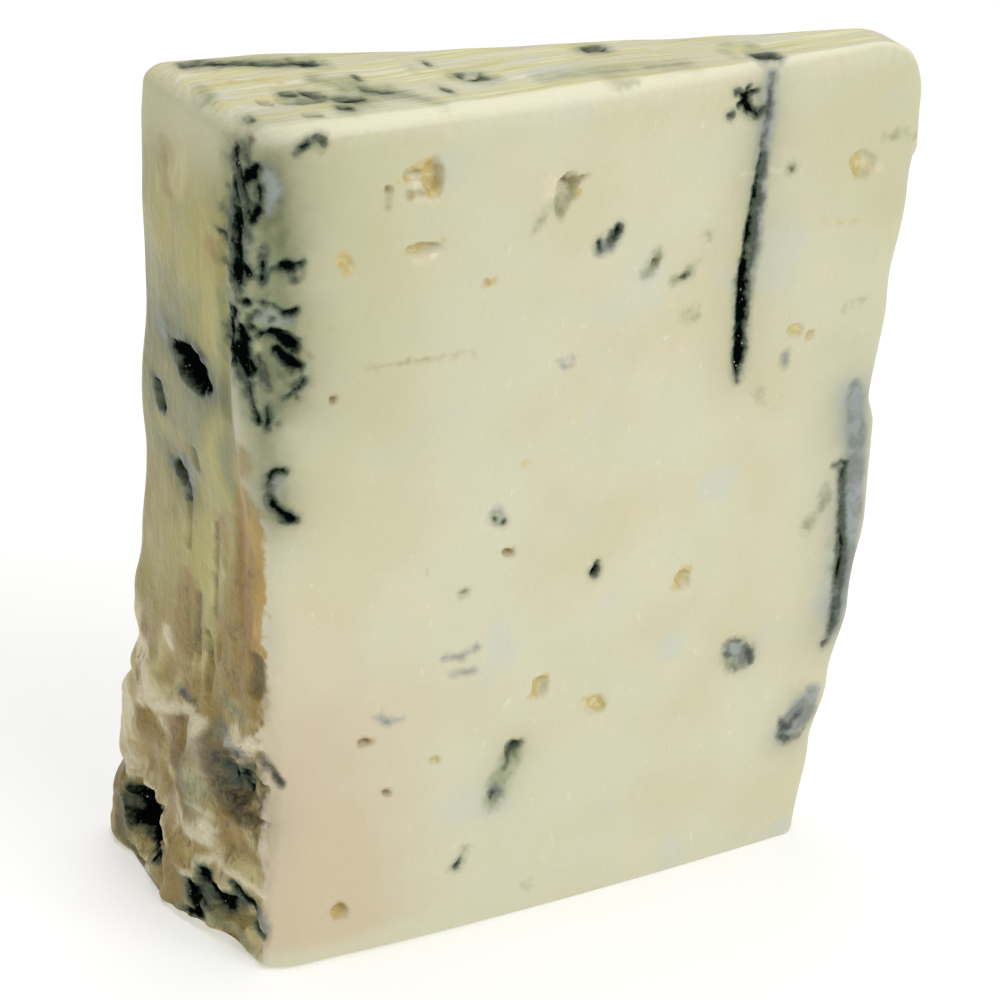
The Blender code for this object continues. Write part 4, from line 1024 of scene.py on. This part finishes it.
def rind_colour(look, fibre):
    """The rind end: straw with olive clouds and painted shade above, brown, cream and olive by turns below."""
    cloud, patch, second, fold = (look.field(name) for name in ("cloud", "patch", "second", "fold"))
    straw = look.colour("straw").mixed("olive straw", patch.above(-0.1, 0.14) * 0.9)
    straw = straw.mixed("pale straw", second.above(0.0, 0.18) * 0.75)
    straw = straw.mixed("straw fold", (fold + fibre * 0.3).above(0.06, 0.24) * 0.6)
    dusk = look.field("dusk") * (0.5 + second * 1.6 + patch)
    # Painted shade: the straw darkens the further it lies behind the cut face.
    straw = straw.mixed("dusk", dusk.above(0.1, 0.9) * 0.75).mixed("shade", look.field("shade") * 0.45)
    browned = look.colour("browned").mixed("browned cream", patch.above(-0.1, 0.12))
    browned = browned.mixed("browned olive", second.above(0.02, 0.16) * 0.75)
    browned = browned.mixed("browned fold", (fold * -1.0 + fibre * 0.4).above(0.02, 0.16) * 0.85)
    browned = browned.mixed("bloom", (cloud + second * -0.7).above(0.08, 0.22) * 0.85)
    browned = browned.mixed("fold line", (fold + fibre * 0.5).size().below(0.0, 0.03) * 0.5)
    strip = look.colour("strip").mixed("strip fold", (fold + fibre * 0.8).above(-0.06, 0.14))
    strip = strip.mixed("pale strip", second.above(0.05, 0.18) * 0.6)
    side = straw.mixed(strip, (look.field("strip") + second * 0.9).above(0.35, 0.65))
    return side.mixed(browned, (look.field("ripe") + patch * 0.7 - 0.1).above(0.4, 0.75))


def paste_material():
    look = Surface("blue_cheese_paste")
    rind, ripe, top, cloud, high = (look.field(name) for name in ("rind", "ripe", "top", "cloud", "high"))
    fine = look.grain(1.1, detail=3.0, seed=5.0)
    flecks = look.grain(0.9, detail=3.0, stretch=(1.0, 1.0, 0.5), seed=37.0, roughness=0.6)
    ragged = look.grain(1.9, detail=3.0, seed=17.0)
    crisp = look.grain(0.7, detail=3.0, seed=29.0, roughness=0.6)
    thread = look.grain(0.9, detail=3.0, stretch=(0.06, 1.0, 1.0), seed=67.0)
    fibre = look.grain(1.3, detail=3.0, stretch=(1.0, 1.0, 0.2), seed=63.0)
    share = (rind + ragged * (0.9 + ripe * 0.6)).above(0.38, 0.66) * (1.0 - high) + rind * high
    colour = paste_colour(look, flecks, thread).mixed(rind_colour(look, fibre), share)
    murk = look.colour("olive murk").mixed("brown murk", rind * ripe)
    colour = colour.mixed(murk, look.field("haze") * (1.0 + cloud * 1.2 + ragged * 0.6))
    colour = colour.mixed("mist", look.field("mist") * (1.0 + cloud * 1.4 + ragged * 0.6))
    # The marks, each with its own ragged edge, which runs in streaks along the top.
    torn = (ragged + crisp * 0.4) * (1.0 - top) + thread * top

    def mark(kind, soft, rough):
        return (look.field(kind) + torn * rough).below(-soft, soft)

    # Each mark's two tones, what turns one into the other, its softness, its raggedness and its strength.
    for kind, tone, other, turn, soft, rough, strength in (
            ("brown", "brown", "deep brown", (ragged + crisp * 0.5).above(-0.02, 0.25), 0.7, 1.8, 0.8),
            # White on the lips of pits is partly pale crumb and partly painted highlight.
            ("white", "white", "bright white", (fine + crisp).above(0.0, 0.3), 0.5, 1.6, 0.85),
            ("dark", "dark", "deep dark", (ragged + crisp).above(-0.05, 0.2), 0.5, 1.2, 0.88),
            ("ochre", "ochre", "pale ochre", (fine + crisp * 0.6).above(-0.02, 0.2), 0.45, 1.6, 0.75),
            ("green", "green", "pale green", (ragged + cloud).above(-0.12, 0.2), 0.9, 2.2, 0.66),
            ("halo", "halo", "pale halo", (ragged + cloud).above(-0.12, 0.16), 0.7, 1.2, 0.8)):
        colour = colour.mixed(look.colour(tone).mixed(other, turn), mark(kind, soft, rough) * strength)
    colour = colour.mixed("rim", mark("rim", 0.3, 1.2) * 0.65)
    haze = (look.field("mould") + ragged).below(-0.2, 1.3)
    colour = colour.mixed("haze", haze * (0.42 + cloud * 0.8))
    stain = look.colour("stain").mixed("pale stain", (ragged + crisp * 0.6).above(-0.05, 0.2))
    colour = colour.mixed(stain, mark("stain", 0.5, 1.1) * 0.88)
    growth = look.field("mould") + (ragged * 1.3 + crisp * 0.6) * (1.0 - top * 0.8) + thread * top * 0.9
    look.feed("Base Color", colour.mixed("growth edge", growth.below(0.0, 0.5) * 0.8))
    look.feed("Roughness", 0.46 + fine * 0.2 - rind * 0.12)
    look.feed("Specular IOR Level", 0.42)
    height = fine * 0.11 + flecks * 0.08 + thread * top * 0.3 + fibre * rind * (0.12 + ripe * 0.3)
    look.bump(height + crisp * rind * ripe * 0.35)
    mould = look.colour("mould").mixed("black mould", growth.below(-0.4, 0.0))
    mould = mould.mixed("mould bloom", (crisp + ragged).above(0.12, 0.3) * 0.6)
    look.over(growth.below(-0.3, 0.18), mould, 0.6, 0.0)
    return look.material


def granule_and_glint_material():
    look = Surface("mould_granule_and_painted_glint")
    tone = look.grain(0.6, detail=2.0, seed=81.0)
    # Painted glints: a share of the granules is pale, standing for glints on the wet mould.
    look.feed("Base Color", look.colour("granule").mixed("painted glint granule", tone.above(0.04, 0.16)))
    look.feed("Roughness", 0.18 + tone * 0.1)
    look.feed("Specular IOR Level", 0.6)
    return look.material


def granules(host, material):
    """Small wet grains scattered over the mould, made to real meshes; their pale ones are painted glints."""
    tree = bpy.data.node_groups.new("scatter_granules", "GeometryNodeTree")
    tree.interface.new_socket("Geometry", in_out="INPUT", socket_type="NodeSocketGeometry")
    given_values = []
    for name, kind, value in (("Grain Size", "NodeSocketFloat", GRANULE_SIZE),
                              ("Density", "NodeSocketFloat", GRANULE_DENSITY),
                              ("Seed", "NodeSocketInt", GRANULE_SEED)):
        socket = tree.interface.new_socket(name, in_out="INPUT", socket_type=kind)
        given_values.append((socket.identifier, value))
    tree.interface.new_socket("Geometry", in_out="OUTPUT", socket_type="NodeSocketGeometry")

    def node(kind, settings=None, inputs=None):
        made = tree.nodes.new(kind)
        for name, value in (settings or {}).items():
            setattr(made, name, value)
        for name, value in (inputs or {}).items():
            if isinstance(value, bpy.types.NodeSocket):
                tree.links.new(value, made.inputs[name])
            else:
                made.inputs[name].default_value = value
        return made.outputs

    given = node("NodeGroupInput")
    depth = node("GeometryNodeInputNamedAttribute", {"data_type": "FLOAT"}, {"Name": "mould"})[0]
    compared = {"data_type": "FLOAT", "operation": "LESS_THAN"}
    inside = node("FunctionNodeCompare", compared, {0: depth, 1: GRANULE_DEPTH})[0]
    spread = node("GeometryNodeDistributePointsOnFaces", {},
                  {"Mesh": given["Geometry"], "Selection": inside,
                   "Density": given["Density"], "Seed": given["Seed"]})
    grain = node("GeometryNodeMeshIcoSphere", {}, {"Radius": given["Grain Size"], "Subdivisions": 1})[0]
    least, most = GRANULE_SCALES
    scale = node("FunctionNodeRandomValue", {"data_type": "FLOAT"}, {2: least, 3: most})[1]
    put = node("GeometryNodeInstanceOnPoints", {},
               {"Points": spread[0], "Instance": grain, "Rotation": spread[2], "Scale": scale})[0]
    real = node("GeometryNodeRealizeInstances", {}, {"Geometry": put})[0]
    dressed = node("GeometryNodeSetMaterial", {}, {"Geometry": real, "Material": material})[0]
    node("NodeGroupOutput", {}, {0: dressed})

    modifier = host.modifiers.new("granules", "NODES")
    modifier.node_group = tree
    for identifier, value in given_values:
        modifier[identifier] = value
    evaluated = host.evaluated_get(bpy.context.evaluated_depsgraph_get())
    mesh = bpy.data.meshes.new_from_object(evaluated)
    host.modifiers.remove(modifier)
    mesh.name = "mould_granules"
    return linked("mould_granules", mesh)


# Floor, light and camera.
def studio():
    cells = bmesh.new()
    bmesh.ops.create_grid(cells, x_segments=FLOOR_CELLS, y_segments=FLOOR_CELLS, size=FLOOR_SIZE)
    mesh = bpy.data.meshes.new("studio_floor")
    cells.to_mesh(mesh)
    cells.free()
    floor = linked("studio_floor", mesh)
    look = Surface("studio_floor")
    look.feed("Base Color", look.colour("floor").mixed("floor shade", look.grain(90.0).above(-0.2, 0.2)))
    look.feed("Roughness", 0.9)
    look.feed("Emission Color", WHITE_LIGHT)
    look.feed("Emission Strength", FLOOR_GLOW)
    mesh.materials.append(look.material)
    world = bpy.data.worlds.new("studio")
    world.use_nodes = True
    sky = world.node_tree.nodes["Background"].inputs
    sky["Color"].default_value = WHITE_LIGHT
    sky["Strength"].default_value = SKY_GLOW
    bpy.context.scene.world = world
    for name, place, size, power in LIGHTS:
        data = bpy.data.lights.new(name, "AREA")
        data.size = size
        data.energy = power
        light = linked(name, data)
        light.location = place
        light.rotation_euler = (Vector(LIGHT_AIM) - Vector(place)).to_track_quat("-Z", "Y").to_euler()


def camera():
    data = bpy.data.cameras.new("photo_camera")
    data.lens = CAMERA_LENS
    data.sensor_width = CAMERA_SENSOR
    data.clip_start = CAMERA_CLIP
    eye = linked("photo_camera", data)
    back = -CAMERA_FORWARD.normalized()
    right = CAMERA_UP.cross(back).normalized()
    up = back.cross(right)
    turn = Matrix((right, up, back)).transposed().to_4x4()
    eye.matrix_world = Matrix.Translation(Vector((CAMERA_AT - FRAME_ORIGIN) * MM)) @ turn
    bpy.context.scene.camera = eye


bpy.context.scene.view_settings.view_transform = "Standard"
camera()
studio()
wedge = cheese_skin()
wedge.data.materials.append(paste_material())
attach(wedge, "root")
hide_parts("cheese_wedge")
grains = granules(wedge, granule_and_glint_material())
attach(grains, "root")

triangles = [(piece.name, sum(len(p.vertices) - 2 for p in piece.data.polygons)) for piece in (wedge, grains)]
print("triangles", triangles)
